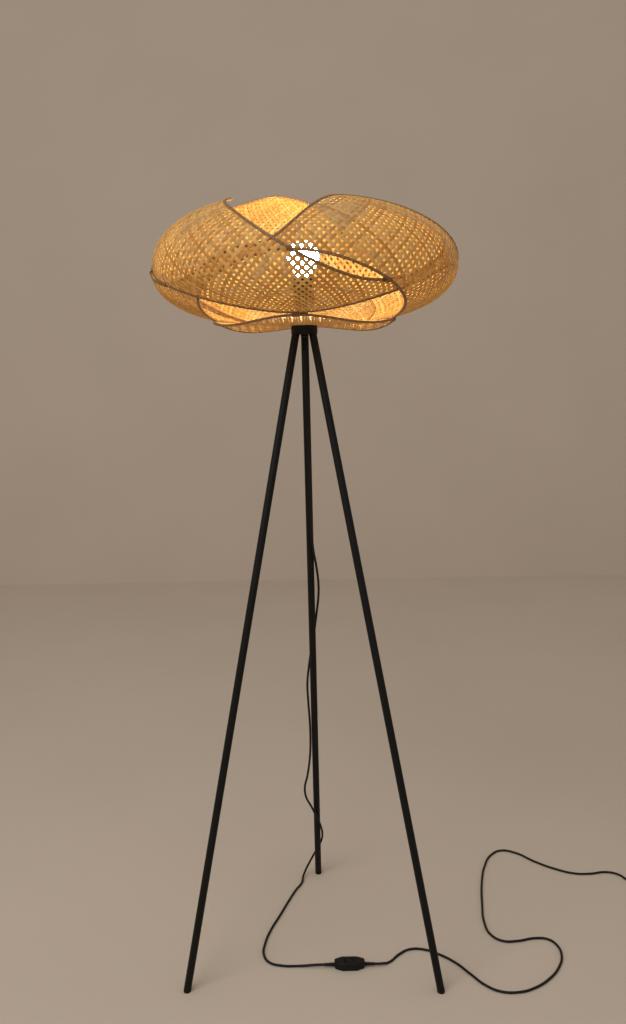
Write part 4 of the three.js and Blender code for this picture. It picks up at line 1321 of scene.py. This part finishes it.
backward = moved(plug_sleeve_length, 0, plug_middle) @ turned_about("Z", turn / 2)
cut_away(body, sleeve(plug_sleeve_radius, plug_sleeve_length, backward), operation="UNION")
pin_start = plug_sleeve_length + plug_length - plug_pin_seat
flat = turned_about("Y", turn / 4)
for number, name in enumerate(("left", "right")):
    across = (number - 0.5) * plug_pin_spacing
    seat_place = moved(pin_start, across, plug_middle) @ flat
    cut_away(body, rod("seat", plug_pin_radius + seat_gap, 0, plug_pin_length, 32, seat_place))
    pin_place = moved(pin_start + seat_gap, across, plug_middle) @ flat
    turned_part(f"pin_{name}", f"plug_pin_{name}", zinc, [
        *near(plug_pin_radius, 0, (0.2, 0), (0, 0.2)),
        *near(plug_pin_radius, plug_pin_length, (0, -1.2), (0.3, -0.6), (0.9, -0.1), (1.3, 0))],
        32, place=plug_place @ pin_place, hollow=False)
settle(body, "plug_body_moulded", plug_place)
soften(body)
stands_for(body, "plug_body", moulded)

# The strap is a flat band round the turns of the coil, with a small square head on top
tie_width = 6.0
tie_thickness = 1.0
tie_gap = 0.4
tie_edge = 0.8
tie_head = (7.0, tie_width + 1.6, 3.4)
tie_head_edge = 0.5
tie_head_back = 6.0
tie_inner = coil_inner - cord_width / 2 - tie_gap
tie_outer = coil_inner + coil_pitch * coil_turns / 2 + cord_width / 2 + tie_gap
tie_low = coil_lift - tie_gap
tie_high = coil_lift + coil_pitch + cord_width + tie_gap
tie_place = moved(coil_centre.x, coil_centre.y, 0) @ turned_about("Z", coil_bearing - turn / 3)
across, tall = tie_outer - tie_inner, tie_high - tie_low
middle = ((tie_inner + tie_outer) / 2, 0, (tie_low + tie_high) / 2)
strap = block("strap", (across + tie_thickness * 2, tie_width, tall + tie_thickness * 2), middle)
soften(strap, tie_edge, 3)
cut_away(strap, block("hollow", (across, tie_width * 2, tall), middle))
head = block("head", tie_head, (tie_outer - tie_head_back, 0, tie_high + tie_thickness * 0.6))
soften(head, tie_head_edge)
cut_away(strap, head, operation="UNION")
settle(strap, "coil_strap", tie_place)
soften(strap)
stands_for(strap, "coil_tie", moulded)

# The lengths of both cord routes, worked out once the switch and the plug stand; they are not used further
length_of(lamp_route)
length_of(plug_route)

# Floor and backdrop, plain, in the colour of the wall in the photograph. One large soft lamp shines from
# above on the left in front, and an even warm light comes from all round.
stage_size = 18
wall_distance = 3.6
room_colour = (1, 0.97, 0.93, 1)
room_light = 0.45
key_place = (-1.6, -2.2, 3.2)
key_aim = Vector((0, 0, 0.9))
key_size = 2.5
key_power = 50
bpy.ops.mesh.primitive_plane_add(size=stage_size, location=(0, 0, 0))
floor = bpy.context.object
floor.name = "floor"
bpy.ops.mesh.primitive_plane_add(size=stage_size, location=(0, wall_distance, 0), rotation=(turn / 4, 0, 0))
wall = bpy.context.object
wall.name = "wall"
plaster = clouded("plaster", {"Roughness": 0.9}, (1.6, 4.0), ((0.61, 0.51, 0.41), (0.68, 0.57, 0.465)))
plaster.give(floor, wall)
world = bpy.data.worlds.new("room")
bpy.context.scene.world = world
world.use_nodes = True
background = world.node_tree.nodes["Background"]
background.inputs[0].default_value = room_colour
background.inputs[1].default_value = room_light
bpy.ops.object.light_add(type="AREA", location=key_place)
key = bpy.context.object
key.data.size = key_size
key.data.energy = key_power
key.rotation_euler = (key_aim - key.location).to_track_quat("-Z", "Y").to_euler()
